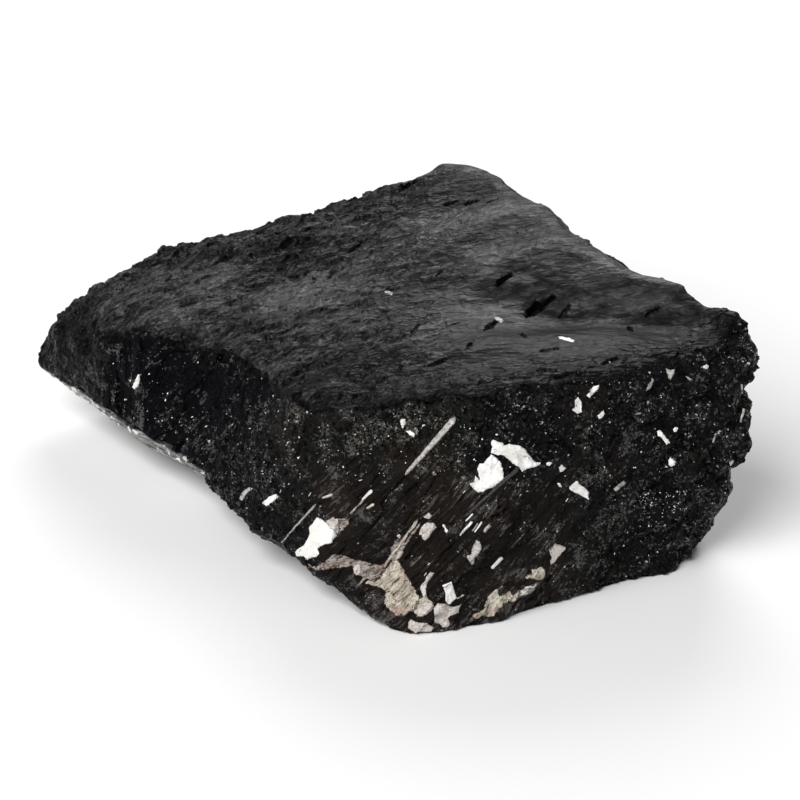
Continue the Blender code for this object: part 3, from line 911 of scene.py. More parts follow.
    # Faces in view, and hollows.
    SEEN_LEVEL = 0.35  # the normal's Z of a face that is seen from above
    HIDDEN_UNDER = -0.75  # the normal's Z of a front face too far under to be seen
    PIT_EDGE = 0.1  # a hollow deeper than this has the top's surface in it
    # depths over which a hollow's painted shade grows to full
    PIT_STEP = (0.3, 1.5)
    RIGHT_END = 60.0  # the notches are to the right of this
    LEAST_SHARE = 0.01  # a kind of surface with less than this is left out

    def zones(self, point: Vector, normal: Vector) -> Zones:
        """How much of each kind of surface there is.

        Args:
            point: the place.
            normal: the block's broad normal there.

        Returns:
            The shares.
        """
        wander = layered(point, self.WANDER)
        rise = (point.z - self.heel_z) / (self.brow_z - self.heel_z)
        edge_x = self.heel_x + (self.brow_x - self.heel_x) * rise
        left = ramp(edge_x - point.x, *self.FLANK_STEP)
        behind = self.behind_brow(point) + self.BROW_WANDER * wander
        top = ramp(normal.z + wander - self.FLANK_EDGE * left, *self.LEVEL_STEP)
        top *= ramp(behind, *self.BROW_STEP)
        under = ramp(-normal.z, *self.UNDER_STEP)
        tip = ramp(-point.x + self.TIP_WANDER * wander, *self.TIP_STEP)
        tip *= ramp(self.TIP_NORMAL - normal.y + wander, *self.TIP_SIDE_STEP)
        top = max(top, self.TIP_SHARE * tip * (1.0 - under))
        side = max(0.0, 1.0 - top - under)
        near = ramp(-normal.y - self.LEFT_TILT * normal.x, *self.SIDE_STEP)
        flank = left * near
        wobble = self.WOBBLE.at(point)
        blades = (
            ramp(self.blades_top - point.z + wobble, *self.BLADES_TOP_STEP)
            * ramp(point.x - self.blades_left + wobble, *self.BLADES_END_STEP)
            * ramp(self.blades_right - point.x + wobble, *self.BLADES_END_STEP)
        )
        front = (1.0 - left) * near * (1.0 - ramp(point.x, *self.RIGHT_STEP))
        bladed = front * blades
        granular = front - bladed
        knobbly = max(0.0, 1.0 - flank - front)
        return Zones(top, under, side * granular, side * bladed, side * flank, side * knobbly)

    @staticmethod
    def behind_brow(point: Vector) -> float:
        """How far a point lies behind the brow line."""
        xs, ys = zip(*BROW_LINE)
        return point.y - float(np.interp(point.x, xs, ys))

    def painted_light_and_wear(self, point: Vector) -> float:
        """Painted light and shade of the top, with its wear: lighter at the back, darker at the brow's
        right.
        """
        fade = self.PAINTED_LIGHT_FADE[0] + self.PAINTED_LIGHT_FADE[1] * ramp(point.x, *self.FADE_STEP)
        # worn is mostly painted light and shade; only its waves are real wear.
        worn = self.PAINTED_LIGHT_BACK * ramp(self.behind_brow(point), self.PAINTED_LIGHT_START, fade)
        worn += self.WORN_WAVES.at(point)
        for painted_patch in PAINTED_LIGHT_PATCHES:
            reach = math.hypot((point.x - painted_patch.x) / painted_patch.half_x, (point.y - painted_patch.y) / painted_patch.half_y)
            worn += painted_patch.gain * (1.0 - ramp(reach, *self.PAINTED_PATCH_STEP))
        return worn

    def scaly(self, point: Vector) -> float:
        """How rough the top is: scaly at the left and along the brow, nearly smooth at the right."""
        left = 1.0 - self.SCALY_LOSS * ramp(point.x, *self.SCALY_STEP)
        return max(left, self.SCALY_RIM * (1.0 - ramp(self.behind_brow(point), *self.SCALY_RIM_STEP)))

    def dusting(self, point: Vector, zones: Zones) -> float:
        """How much grey dust there is: most on the granular crust's left."""
        clean = ramp(point.x, *self.CLEAN_STEPS[0]) * ramp(point.z, *self.CLEAN_STEPS[1])
        crusty = zones.granular * (1.0 - 0.5 * clean) * ramp(point.x, *self.DUST_STEP)
        crusty *= 1.0 - 0.35 * ramp(point.x, *self.DUST_END_STEP)
        return crusty + self.DUST_ELSEWHERE * zones.bladed + self.DUST_ELSEWHERE * zones.knobbly

    def rust(self, point: Vector, zones: Zones) -> float:
        """Where iron has stained the front: in patches among the blades, and around the needle's top."""
        (x, half_x), (z, half_z) = self.HALO
        patch = ramp(noise.noise(point / self.RUST_SIZE), *self.RUST_STEP)
        patch *= ramp(point.x, *self.RUST_LEFT_STEP)
        halo = 1.0 - ramp(math.hypot((point.x - x) / half_x, (point.z - z) / half_z), *self.HALO_STEP)
        return zones.bladed * (0.45 + 0.55 * patch) + zones.granular * max(0.6 * patch, 0.8 * halo)

    @staticmethod
    def grain_line(point: Vector) -> Vector:
        """The top's fibres bend a little: they rise to the right on the left, and fall on the right."""
        return Vector((point.x, point.y - 0.1 * point.x + 0.0011 * point.x ** 2, point.z))

    def _top(self, point: Vector) -> float:
        """Thin sheets that overlap along the fibres, each with a crisp torn edge."""
        line = self.grain_line(point) + Vector((0.0, self.BEND.at(point), 0.0))
        scaly = self.scaly(point)
        edge = 0.05 + 0.3 * (1.0 - scaly)
        sheets = ramp(self.SHEETS.at(line), -edge, edge)
        flakes = ramp(self.FLAKES.at(line), -edge - 0.03, edge + 0.03)
        lumpy = ramp(point.y, 24.0, 40.0) * (1.0 - ramp(point.x, -6.0, 16.0))
        return (
            (0.5 + 0.3 * scaly) * self.WAVES.at(line) + (0.35 + 0.25 * scaly) * self.HUMMOCKS.at(line)
            + scaly * (0.5 * sheets + 0.36 * flakes + self.RUBBLE.at(line))
            + lumpy * layered(point, self.LUMPS) - 0.1
        )

    def _granular(self, point: Vector) -> float:
        """The granular crust."""
        return layered(point, self.GRAINS)

    def _bladed(self, point: Vector) -> float:
        """The blades of the front."""
        return layered(self.front_fibre.coordinates(point), self.BLADES) + layered(point, self.BLADE_GRAINS)

    def _flank(self, point: Vector) -> float:
        """Columns at the tip, which lean over to the blades' direction towards the front."""
        leaning = ramp(point.x, *self.LEAN_STEP)
        made = layered(point, self.COLUMN_GRAINS)
        for fibre, share in ((self.column_fibre, 1.0 - leaning), (self.front_fibre, leaning)):
            if share > self.LEAST_SHARE:
                made += share * layered(fibre.coordinates(point), self.COLUMNS)
        return made

    def _knobbly(self, point: Vector) -> float:
        """The knobs of the hidden sides."""
        near, far = noise.voronoi(point / self.KNOB_SIZE)[0][:2]
        knobs = self.KNOB_HEIGHT * (min(far - near, self.KNOB_TOP) - self.KNOB_TOP / 2.0)
        return knobs + layered(point, self.KNOB_GRAINS)

    def relief(self, point: Vector, zones: Zones) -> float:
        """How far the surface stands out at a point.

        Args:
            point: the place.
            zones: the shares of the kinds of surface there.

        Returns:
            The height.
        """
        recipes = (self._top, None, self._granular, self._bladed, self._flank, self._knobbly)
        return sum(
            share * recipe(point)
            for share, recipe in zip(zones, recipes) if recipe and share > self.LEAST_SHARE
        )

    def _shell(self) -> bmesh.types.BMesh:
        """The block with its inlays filled in, in even faces, in millimetres."""
        inlays = [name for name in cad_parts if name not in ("tourmaline_mass", "quartz_seam")]
        joined = cad_shape(["tourmaline_mass"])
        filled = mesh_of(cad_shape(inlays, self.inlay_swell), "inlays")
        joined.from_mesh(filled)
        bpy.data.meshes.remove(filled)
        work = opened(remeshed(mesh_of(joined, "joined"), self.voxel))
        bmesh.ops.scale(work, verts=work.verts, vec=(1.0 / MM,) * 3)
        self._keep_outer_shell(work)
        smoothed(work, work.verts, self.passes)
        work.normal_update()
        return work

    @staticmethod
    def _keep_outer_shell(work: bmesh.types.BMesh) -> None:
        """Deletes closed pockets that the remeshing left between the solids."""
        start = max(work.verts, key=lambda vert: vert.co.x)
        shell, waiting = {start}, [start]
        while waiting:
            vert = waiting.pop()
            others = [edge.other_vert(vert) for edge in vert.link_edges]
            waiting += [other for other in others if other not in shell]
            shell.update(others)
        pockets = [vert for vert in work.verts if vert not in shell]
        bmesh.ops.delete(work, geom=pockets, context="VERTS")

    def _refine(self, work: bmesh.types.BMesh) -> None:
        """Halves the faces on the sides in view."""
        edges = {
            edge for face in work.faces
            if face.normal.z > self.SEEN_LEVEL or (face.normal.y < 0.0 and face.normal.z > self.HIDDEN_UNDER)
            for edge in face.edges
        }
        bmesh.ops.subdivide_edges(work, edges=list(edges), cuts=1, use_grid_fill=True, smooth=0.0)

    def build(self, camera: ViewingCamera) -> bpy.types.Object:
        """Builds and dresses the block.

        Args:
            camera: what the hollows are placed by.

        Returns:
            The piece.
        """
        work = self._shell()
        hollows = self._hollow_places(work, camera)
        self._soften_pits(work, hollows)
        self._refine(work)
        work.normal_update()
        names = ("weathered", "crust", "painted_light_and_wear", "rust", "dusting", "scaly")
        shares = [work.verts.layers.float.new(name) for name in names]
        lay = work.verts.layers.float_vector.new("lay")
        moves = []
        for vert in work.verts:
            zones = self.zones(vert.co, vert.normal)
            height = self.relief(vert.co, zones)
            # shade is painted shade: a hollow's bottom is painted darker the deeper it is.
            shade = 0.0
            for hollow, middle in hollows:
                offset = vert.co - middle
                if offset.length < self.pit_reach:
                    dip = hollow.dip(offset)
                    height -= dip
                    if dip > self.PIT_EDGE:
                        zones = IN_TOP
                        shade = max(shade, ramp(dip, *self.PIT_STEP))
            height -= sum(notch.dip(vert.co) for notch in NOTCHES if vert.co.x > self.RIGHT_END)
            moves.append(vert.normal * height)
            # The top's painted light and wear, less the painted shade at the bottom of pits.
            values = (
                zones.top, zones.granular + zones.knobbly, self.painted_light_and_wear(vert.co) - self.pit_painted_shade * shade,
                self.rust(vert.co, zones), self.dusting(vert.co, zones), self.scaly(vert.co),
            )
            for share, value in zip(shares, values):
                vert[share] = value
            vert[lay] = self._lay(vert.co, zones) * MM
        for vert, move in zip(work.verts, moves):
            vert.co += move
        rest_on_floor(work)
        bmesh.ops.scale(work, verts=work.verts, vec=(MM,) * 3)
        mesh = thinned(mesh_of(work, "tourmaline_block"), self.triangles)
        return piece("tourmaline_block", mesh, SchorlFinish().material(), ["tourmaline_mass"])

    def _lay(self, point: Vector, zones: Zones) -> Vector:
        """The point's place along and across the fibres of the surface that it is on."""
        if zones.top > 0.5:
            return self.grain_line(point)
        if zones.flank > zones.bladed and point.x < sum(self.LEAN_STEP) / 2.0:
            return self.column_fibre.coordinates(point)
        return self.front_fibre.coordinates(point)

    def _soften_pits(self, work: bmesh.types.BMesh, hollows: list[tuple[Hollow, Vector]]) -> None:
        """Smooths the solid's pits to shallow dips, so that the ragged hollows show in their place."""
        for hollow, middle in hollows:
            near = [vert for vert in work.verts if (vert.co - middle).length < hollow.softened]
            if near:
                smoothed(work, near, self.pit_passes)

    @staticmethod
    def _hollow_places(work: bmesh.types.BMesh, camera: ViewingCamera) -> list[tuple[Hollow, Vector]]:
        """Each hollow with the point of the smooth shell that its pixel falls on."""
        tree = BVHTree.FromBMesh(work)
        return [
            (hollow, tree.ray_cast(camera.place / MM, camera.direction(hollow.at))[0]) for hollow in HOLLOWS
        ]


# ---- Patches of pale mineral ----


@dataclass(frozen=True)
class Patch:
    """A pale grain, vein or lath in the block's surface.

    Attributes:
        name: the piece's name.
        mineral: what it is made of.
        outline: its corners in the picture, in pixels.
        proud: how far it stands out at its middle.
        rough: height of its own facets.
        facet_size: size of them.
        stands_for: the solids that it replaces.
        ragged_px: how far its edge wanders from the outline.
    """

    name: str
    mineral: Mineral
    outline: tuple[Pixel, ...]
    proud: float = 0.3
    rough: float = 0.2
    facet_size: float = 2.2
    stands_for: tuple[str, ...] = ()
    ragged_px: float = 0.8

    GRID_PX = 1.0  # spacing of the patch's mesh in the picture
    DEPTH = 1.6  # how far its closed body reaches in behind its surface
    EDGE_PX = 0.9  # its surface comes down to the block's within this
    RIM_PX = 1.5  # dirt gathers within this of its outline
    ROUGH_PX = 2.0  # its facets are lower within this
    STEP_PX = 1.5  # length of a step of its outline
    WANDER = 0.35  # how fast its outline wanders, per pixel
    PASSES = 5  # how often the block's surface is smoothed under it
    FINER = (0.35, 0.45)  # size and height of its finer facets, as shares
    SKIN = 0.03  # it lies at least this far in front of the block

    def edge(self) -> np.ndarray:
        """The outline in short steps, wandering a little."""
        points = []
        for start, end in zip(self.outline, self.outline[1:] + self.outline[:1]):
            a, b = Vector(start), Vector(end)
            steps = max(1, round((b - a).length / self.STEP_PX))
            side = (b - a).orthogonal().normalized()
            for step in range(steps):
                point = a.lerp(b, step / steps)
                wander = noise.noise(Vector((point.x * self.WANDER, point.y * self.WANDER, 0.0)))
                points.append(point + side * wander * self.ragged_px)
        return np.array([(p.x, p.y) for p in points])

    @staticmethod
    def inside(edge: np.ndarray, points: np.ndarray) -> np.ndarray:
        """Which points lie within a closed outline.

        Args:
            edge: the outline's points, one row each.
            points: the points to test, one row each.

        Returns:
            True for each point inside.
        """
        crossings = np.zeros(len(points), bool)
        for (ax, ay), (bx, by) in zip(edge, np.roll(edge, -1, axis=0)):
            spans = (ay > points[:, 1]) != (by > points[:, 1])
            if ay != by:
                crossings ^= spans & (points[:, 0] < ax + (points[:, 1] - ay) * (bx - ax) / (by - ay))
        return crossings

    def _sheet(self) -> tuple[bmesh.types.BMesh, np.ndarray]:
        """A flat grid in the picture's plane, trimmed to the outline, and the outline."""
        edge = self.edge()
        low, high = edge.min(0) - self.GRID_PX, edge.max(0) + self.GRID_PX
        size, middle = high - low, (low + high) / 2.0
        work = bmesh.new()
        bmesh.ops.create_grid(
            work, x_segments=max(2, round(size[0] / self.GRID_PX)),
            y_segments=max(2, round(size[1] / self.GRID_PX)), size=0.5,
            matrix=Matrix.Translation((*middle, 0.0)) @ Matrix.Diagonal((*size, 1.0, 1.0)),
        )
        centres = np.array([face.calc_center_median()[:2] for face in work.faces])
        outside = [face for face, kept in zip(work.faces, self.inside(edge, centres)) if not kept]
        bmesh.ops.delete(work, geom=outside, context="FACES")
        for vert in work.verts:
            if vert.is_boundary:
                gaps = np.hypot(edge[:, 0] - vert.co.x, edge[:, 1] - vert.co.y)
                nearest = edge[int(gaps.argmin())]
                if gaps.min() < self.GRID_PX:
                    vert.co.x, vert.co.y = nearest
        return work, edge

    def build(self, block: BVHTree, camera: ViewingCamera, material: bpy.types.Material) -> bpy.types.Object:
        """Builds and dresses the patch.

        Args:
            block: the block's surface, in metres.
            camera: what the outline was drawn from.
            material: the mineral's finish.

        Returns:
            The piece.
        """
        work, edge = self._sheet()
        rim = work.verts.layers.float.new("rim")
        origin = camera.place
        sight = {vert: camera.direction(vert.co.xy) for vert in work.verts}
        reach = {vert: block.ray_cast(origin, ray)[3] for vert, ray in sight.items()}
        missed = [vert for vert, distance in reach.items() if distance is None]
        bmesh.ops.delete(work, geom=missed, context="VERTS")
        bmesh.ops.delete(work, geom=[v for v in work.verts if not v.link_faces], context="VERTS")
        hit = {vert: reach[vert] for vert in work.verts}
        smooth = dict(hit)
        for _ in range(self.PASSES):
            smooth = {
                vert: (smooth[vert] + sum(smooth[e.other_vert(vert)] for e in vert.link_edges))
                / (1 + len(vert.link_edges)) for vert in work.verts
            }
        finer_size, finer_height = self.FINER
        for vert in work.verts:
            gap = float(np.hypot(edge[:, 0] - vert.co.x, edge[:, 1] - vert.co.y).min())
            rise = self.proud * ramp(gap, 0.0, self.EDGE_PX)
            spot = (origin + sight[vert] * smooth[vert]) / MM
            rough = facet(spot / self.facet_size)
            rough += finer_height * facet(spot / (finer_size * self.facet_size))
            rise += self.rough * rough * ramp(gap, 0.0, self.ROUGH_PX)
            distance = min(smooth[vert] - rise * MM, hit[vert] - self.SKIN * MM)
            vert[rim] = 1.0 - ramp(gap, 0.0, self.RIM_PX)
            vert.co = origin + sight[vert] * distance
        self._close(work, camera)
        rest_on_floor(work)
        finished = mesh_of(work, self.name)
        return piece(self.name, finished, material, self.stands_for)

    def _close(self, work: bmesh.types.BMesh, camera: ViewingCamera) -> None:
        """Gives the sheet a body behind it, inside the block."""
        made = bmesh.ops.extrude_face_region(work, geom=work.faces[:])
        back = [item for item in made["geom"] if isinstance(item, bmesh.types.BMVert)]
        bmesh.ops.translate(work, verts=back, vec=-camera.back * self.DEPTH * MM)
        bmesh.ops.recalc_face_normals(work, faces=work.faces)


@dataclass(frozen=True)
class Lath(Patch):
    """A thin straight crystal in the block's surface; its outline has only its two ends.

    Attributes:
        ragged_px: how far its line wanders.
        width_px: its width in the picture.
        taper: how much narrower its first end is, as a share of its width.
    """

    ragged_px: float = 0.3
    width_px: float = 2.4
    taper: float = 0.4

    END_SHARE = 0.06  # share of its length that each end's tip takes
    END_WIDTH = 0.35  # width of the tip, as a share
    BEND = 0.12  # how fast it bends, per pixel

    def _sheet(self) -> tuple[bmesh.types.BMesh, np.ndarray]:
        """A narrow grid along the lath in the picture's plane, and its outline."""
        start, end = (Vector((*pixel, 0.0)) for pixel in self.outline)
        run = end - start
        along = run.normalized()
        across = Vector((-along.y, along.x, 0.0))
        lies = Matrix((along, across, Vector((0.0, 0.0, 1.0)))).transposed().to_4x4()
        work = bmesh.new()
        bmesh.ops.create_grid(
            work, x_segments=max(4, round(run.length)), y_segments=max(3, round(self.width_px * 1.5)),
            size=0.5, matrix=Matrix.Diagonal((run.length, self.width_px, 1.0, 1.0)),
        )
        for vert in work.verts:
            share = vert.co.x / run.length + 0.5
            blunt = ramp(min(share, 1.0 - share), 0.0, self.END_SHARE)
            slim = (1.0 - self.taper * (1.0 - share)) * (self.END_WIDTH + (1.0 - self.END_WIDTH) * blunt)
            vert.co.y *= slim
            bend = noise.noise(Vector((start.x + vert.co.x * self.BEND, start.y, 0.0)))
            vert.co.y += self.ragged_px * bend
        placed = Matrix.Translation((start + end) / 2.0) @ lies
        bmesh.ops.transform(work, matrix=placed, verts=work.verts)
        edge = np.array([vert.co[:2] for vert in work.verts if vert.is_boundary])
        return work, edge


PATCHES = (
    Lath("quartz_needle", Mineral.MILKY, ((405, 475), (455.5, 417.5)), rough=0.12, ragged_px=0.5,
        width_px=6.6, taper=0.45, stands_for=("quartz_lath",)),
    Lath("splinter_a", Mineral.MILKY, ((281, 543), (316, 504)), ragged_px=0.9),
    Lath("splinter_b", Mineral.MILKY, ((322, 498), (333, 494.5)), width_px=3.0),
    Lath("splinter_c", Mineral.STAINED, ((350, 514), (365, 498)), ragged_px=0.6),
    Lath("splinter_d", Mineral.WHITE, ((362, 500), (372, 490)), ragged_px=0.4, width_px=3.4),
    Lath("splinter_e", Mineral.WHITE, ((459.7, 535.7), (472.1, 521.6)), width_px=2.8),
    Lath("splinter_f", Mineral.WHITE, ((465.5, 521.2), (472.9, 513.6)), width_px=2.0),
    Lath("splinter_g", Mineral.MILKY, ((472.1, 531.5), (477.9, 523.2)), ragged_px=0.4, width_px=2.0),
    Lath("splinter_h", Mineral.WHITE, ((474.6, 532.3), (482.1, 521.6)), width_px=2.2),
    Lath("splinter_j", Mineral.WHITE, ((491.5, 568.5), (502.5, 557)), ragged_px=0.2, width_px=3.6,
        taper=0.1),
    Lath("schorl_shaft", Mineral.PRISM, ((464, 517), (519, 467.5)), ragged_px=0.4, width_px=5.0, taper=0.3,
        proud=0.6),
    Lath("splinter_m", Mineral.VEIN, ((511, 547.3), (525.2, 533.2)), width_px=1.8),
    Lath("splinter_n", Mineral.VEIN, ((533.5, 558), (548.4, 540.6)), width_px=1.6),
    Lath("splinter_o", Mineral.MILKY, ((457, 599), (464, 594.5)), width_px=2.0),
    Lath("splinter_k", Mineral.STAINED, ((366, 509), (374, 504)), width_px=3.0),
    Patch("matrix_toe", Mineral.STAINED, ((364, 583), (370, 580), (375, 582), (380, 576), (386, 569),
        (392, 562), (398, 559), (401, 565), (405.5, 573.5), (411, 582), (416, 591), (419, 598), (424, 596),
        (429, 599), (434, 603), (433, 609), (428, 613), (422, 617), (417, 616), (413, 611), (408, 612),
        (404, 615), (400, 617), (394, 614), (388, 608), (384, 603), (385.5, 592.5), (383, 590),
        (381.5, 587.6), (374, 587), (369, 584)), rough=0.5, facet_size=2.0,
        stands_for=("feldspar_matrix_toe",), ragged_px=1.4),
    Patch("toe_arm", Mineral.PINK, ((307, 563), (311, 565.5), (316, 567), (320, 564), (324, 562), (328, 559),
        (333, 554), (338, 553.5), (346, 556), (353, 559), (359, 559.5), (368, 562.5), (376, 564),
        (381.5, 565.5), (387, 561.5), (390, 562), (384, 570), (379, 578), (374, 582), (368, 580), (364, 578),
        (361, 576), (354, 574.5), (353, 569), (351, 565.5), (347.5, 566.7), (342, 567.3), (336, 568),
        (330.5, 569.3), (324, 569.3), (320, 570), (315, 570), (309.6, 566.7)), proud=0.35, rough=0.5,
        facet_size=1.6, ragged_px=1.4),
    Patch("toe_arm_white", Mineral.CLOUDED, ((353.5, 565.5), (357.3, 563.4), (361, 565.4), (362, 570.6),
        (359.3, 575.2), (355.4, 575.2), (353.4, 570.6)), proud=0.6),
    Lath("toe_spur", Mineral.STAINED, ((355.5, 589.5), (369.5, 572.5)), width_px=4.2, taper=0.85,
        ragged_px=0.8),
    Lath("leg_left", Mineral.STAINED, ((383, 568), (418.5, 519)), width_px=3.4, taper=0.0, proud=0.5,
        ragged_px=0.8),
    Lath("leg_right", Mineral.PINK, ((389, 567), (420.5, 522.5)), width_px=3.0, taper=0.0, ragged_px=0.8),
    Patch("leg_crumbs", Mineral.PINK, ((391, 547), (394, 541), (399, 538), (404, 540), (405, 546),
        (402, 553), (398, 560), (392, 562), (389, 556)), ragged_px=1.6),
    Patch("leg_grain_a", Mineral.CLOUDED, ((396.5, 536), (399, 534.3), (401.5, 536), (399, 538.7)),
        proud=0.6),
    Patch("leg_grain_b", Mineral.CLOUDED, ((395, 558), (397.5, 553), (401, 549.5), (403.5, 551),
        (402, 555.5), (398.5, 559)), proud=0.6),
    Patch("matrix_side", Mineral.STAINED, ((472, 614.5), (476, 613.6), (483, 609.5), (485.5, 603),
        (488, 595.5), (493, 590.5), (502, 585.5), (503.5, 586.5), (499, 589.5), (498, 593.7), (502, 596),
        (504.5, 593), (509.4, 590.4), (512.7, 594.5), (518.6, 590.4), (520.2, 593), (517.7, 597.8),
        (513.6, 602), (508.6, 601.2), (504.5, 603.6), (498.7, 609.5), (494.5, 616), (488, 617), (483, 615.3),
        (477, 619), (473, 617.7)), rough=0.4, facet_size=1.8, stands_for=("feldspar_matrix_side",),
        ragged_px=1.2),
    Patch("side_middle", Mineral.VEIN, ((519.4, 590), (526, 586.2), (532.6, 583.7), (539.3, 581.3),
        (541, 583), (536, 588), (532.6, 593), (526, 596.2), (519, 598)), ragged_px=1.4),
    Patch("side_top", Mineral.STAINED, ((525, 577), (527.7, 574.6), (531.8, 573.8), (531, 569.7),
        (536, 568.8), (541, 566.3), (545, 569.7), (545, 575.5), (542, 580.4), (536.8, 579.6), (532.6, 578.8),
        (527.7, 579.3)), ragged_px=1.2),
    Patch("grain_large", Mineral.WHITE, ((316.8, 517), (321.4, 519), (324.6, 521.6), (327.9, 524.2),
        (329.9, 528.1), (333.8, 530.1), (335.8, 532.7), (337.1, 535.9), (333.1, 539.2), (332.5, 542.5),
        (329.9, 543.4), (325.3, 544.4), (320.1, 546.4), (317.7, 549.7), (319, 553.6), (316.1, 556.9),
        (312.2, 557.5), (307.6, 559.9), (303.7, 556.2), (296.5, 556.2), (295.2, 552.3), (297.8, 549),
        (303.1, 545.8), (307, 540.5), (309.6, 534), (309, 527.5), (313.5, 522.2)), proud=0.35,
        stands_for=("feldspar_grain_large",), ragged_px=0.4),
    Patch("grain_large_shoulder", Mineral.CLOUDED, ((325.3, 520.9), (329.2, 519.6), (333.1, 517),
        (335.1, 519), (338, 518.5), (338.5, 524), (339.5, 529), (337.5, 535), (333.8, 530.1), (329.9, 528.1),
        (327.9, 524.2)), ragged_px=0.5),
    Patch("grain_large_fibres", Mineral.PINK, ((338, 518.5), (346.2, 518.3), (350, 517.5), (348.5, 524),
        (344, 529.4), (340, 533), (337.5, 535), (339.5, 529), (338.5, 524))),
    Patch("grain_left_eye", Mineral.WHITE, ((492, 454), (497, 458), (501, 463), (503, 471), (504, 478),
        (500, 483), (494, 487), (488, 489), (483, 492), (477, 492), (472, 488), (470, 484), (474, 482),
        (475, 476), (478, 478), (480, 482), (479, 474), (477, 468), (480, 464), (484, 463), (487, 459)),
        proud=0.35, stands_for=("feldspar_grain_left_eye",), ragged_px=1.1),
    Patch("grain_right_eye", Mineral.WHITE, ((491, 442), (493, 440), (498, 442), (503, 443), (504, 445.5),
        (509, 444), (515, 445), (521, 446), (526, 450), (529, 455), (533, 459), (535, 462), (541, 463),
        (536, 467), (530, 468), (524, 470), (522, 472), (519, 467), (513, 464), (508, 459), (504, 456),
        (498, 455), (491, 453), (492, 447)), proud=0.35, stands_for=("feldspar_grain_right_eye",),
        ragged_px=1.0),
    Patch("grain_middle", Mineral.WHITE, ((568, 488), (573, 484), (577, 480), (579, 484), (584, 487),
        (589, 492), (588, 496), (589, 500), (584, 497), (578, 494), (573, 492)),
        stands_for=("feldspar_grain_middle",)),
    Patch("grain_low", Mineral.CLOUDED, ((549, 550), (553, 546), (555, 543), (560, 545), (565, 547),
        (566, 549), (561, 554), (557, 558), (554, 563), (551, 565), (550, 561), (552, 558)),
        stands_for=("feldspar_grain_low",)),
    Patch("grain_pair", Mineral.CLOUDED, ((426.5, 522.4), (434, 523), (436.5, 527.4), (431.8, 532.3),
        (429, 537.3), (425.3, 540.6), (422.4, 539), (421.5, 535.2), (419, 534.5), (419.5, 531.5),
        (422, 526.5)), stands_for=("feldspar_grain_pair",), ragged_px=0.4),
    Patch("toe_middle", Mineral.CLOUDED, ((416.6, 613), (418.2, 608), (421.5, 603.6), (427, 602), (433, 602),
        (434, 606), (430, 610.3), (426.5, 614.4), (420.7, 617), (417.4, 615.3)), proud=0.6),
    Patch("toe_pink", Mineral.CLOUDED, ((433.5, 608.6), (437.3, 603.6), (444.8, 603.6), (449.7, 606),
        (454, 607), (461, 604.5), (458.8, 609.5), (458.8, 612.8), (454, 614.4), (449.7, 616), (448, 618.6),
        (450.6, 623.5), (448, 627), (443, 627.4), (439, 623.5), (434, 622.7), (434.8, 616)), ragged_px=0.5),
    Patch("toe_white", Mineral.CLOUDED, ((408.3, 622.7), (410.8, 619.4), (415.7, 622), (420, 622.7),
        (427.3, 623.5), (434, 627.7), (430.7, 632.7), (426.5, 634.3), (422.4, 636.8), (417.4, 635.2),
        (413.2, 631), (408.3, 628.5)), ragged_px=0.5),
    Patch("toe_block", Mineral.WHITE, ((442.3, 585.4), (451.4, 581.6), (454, 589.6), (456.7, 597.8),
        (452.2, 602), (449.7, 605.3), (445.6, 601.2), (445.6, 593.7)), ragged_px=0.3),
    Patch("toe_finger", Mineral.CLOUDED, ((430.7, 572.1), (434, 573), (430.7, 578.8), (427.3, 583),
        (425.7, 589.6), (426.5, 596), (430, 601), (424, 600), (422.4, 594.5), (420, 588.7), (421.5, 584.6),
        (425, 581.3), (426.5, 576.3)), ragged_px=0.5),
    Patch("grain_above_pair", Mineral.CLOUDED, ((422.4, 517.4), (425.7, 515), (429, 512.4), (432.3, 515.8),
        (429, 519), (425, 518.2))),
    Patch("grain_beside_pair", Mineral.WHITE, ((443, 523.2), (445.2, 525.7), (446, 528.2), (448, 530),
        (446.7, 533.2), (444.8, 531.5), (444.4, 528.2), (442.3, 525.7)), ragged_px=0.3),
    Patch("grain_tall", Mineral.MILKY, ((476.3, 540), (479.6, 541.5), (482, 548), (478.7, 554), (474.6, 558),
        (474.3, 562.2), (471.6, 565), (469.6, 561.4), (467, 558), (467, 555.6), (471.3, 554), (472, 548),
        (474.3, 544)), ragged_px=0.4),
    Patch("grain_under_splinters", Mineral.MILKY, ((483, 531.5), (485.4, 527.4), (488.7, 524),
        (491.5, 526.5), (488.5, 529), (485.4, 532.8)), ragged_px=0.3),
    Patch("brow_sliver_left", Mineral.WHITE, ((572, 410), (575, 406), (575, 401), (578, 397), (581, 401),
        (582, 406), (582, 412), (578, 414))),
    Patch("brow_sliver_right", Mineral.WHITE, ((587, 395), (590, 390), (594, 386), (599, 385), (598, 389),
        (595, 392), (592, 396), (589, 398))),
    Patch("brow_sliver_low", Mineral.WHITE, ((600, 413), (604, 410), (605, 414), (602, 418), (599, 419),
        (597, 416))),
    Patch("flake_a", Mineral.WHITE, ((400, 421), (402, 419), (405, 419), (406, 423), (404, 427), (402, 428),
        (401, 424))),
    Patch("flake_b", Mineral.WHITE, ((406, 431), (410, 430), (415, 434), (414, 437), (410, 435))),
    Patch("flake_c", Mineral.STAINED, ((414, 428), (417, 427), (419, 431), (418, 436), (415, 433))),
    Patch("flake_d", Mineral.WHITE, ((559, 467), (562, 465), (566, 468), (564, 471), (560, 472))),
    Patch("flake_e", Mineral.WHITE, ((557, 483), (560, 483), (562, 487), (559, 487))),
    Patch("flake_f", Mineral.MILKY, ((613, 489), (618, 485), (624, 480), (626, 483), (622, 487),
        (616, 491))),
    Patch("flake_g", Mineral.WHITE, ((545, 464), (549, 462), (553, 463), (549, 466))),
    Patch("flake_h", Mineral.WHITE, ((657, 432), (660, 430), (663, 433), (664, 436), (668, 439), (670, 443),
        (667, 445), (664, 441), (661, 437), (658, 436))),
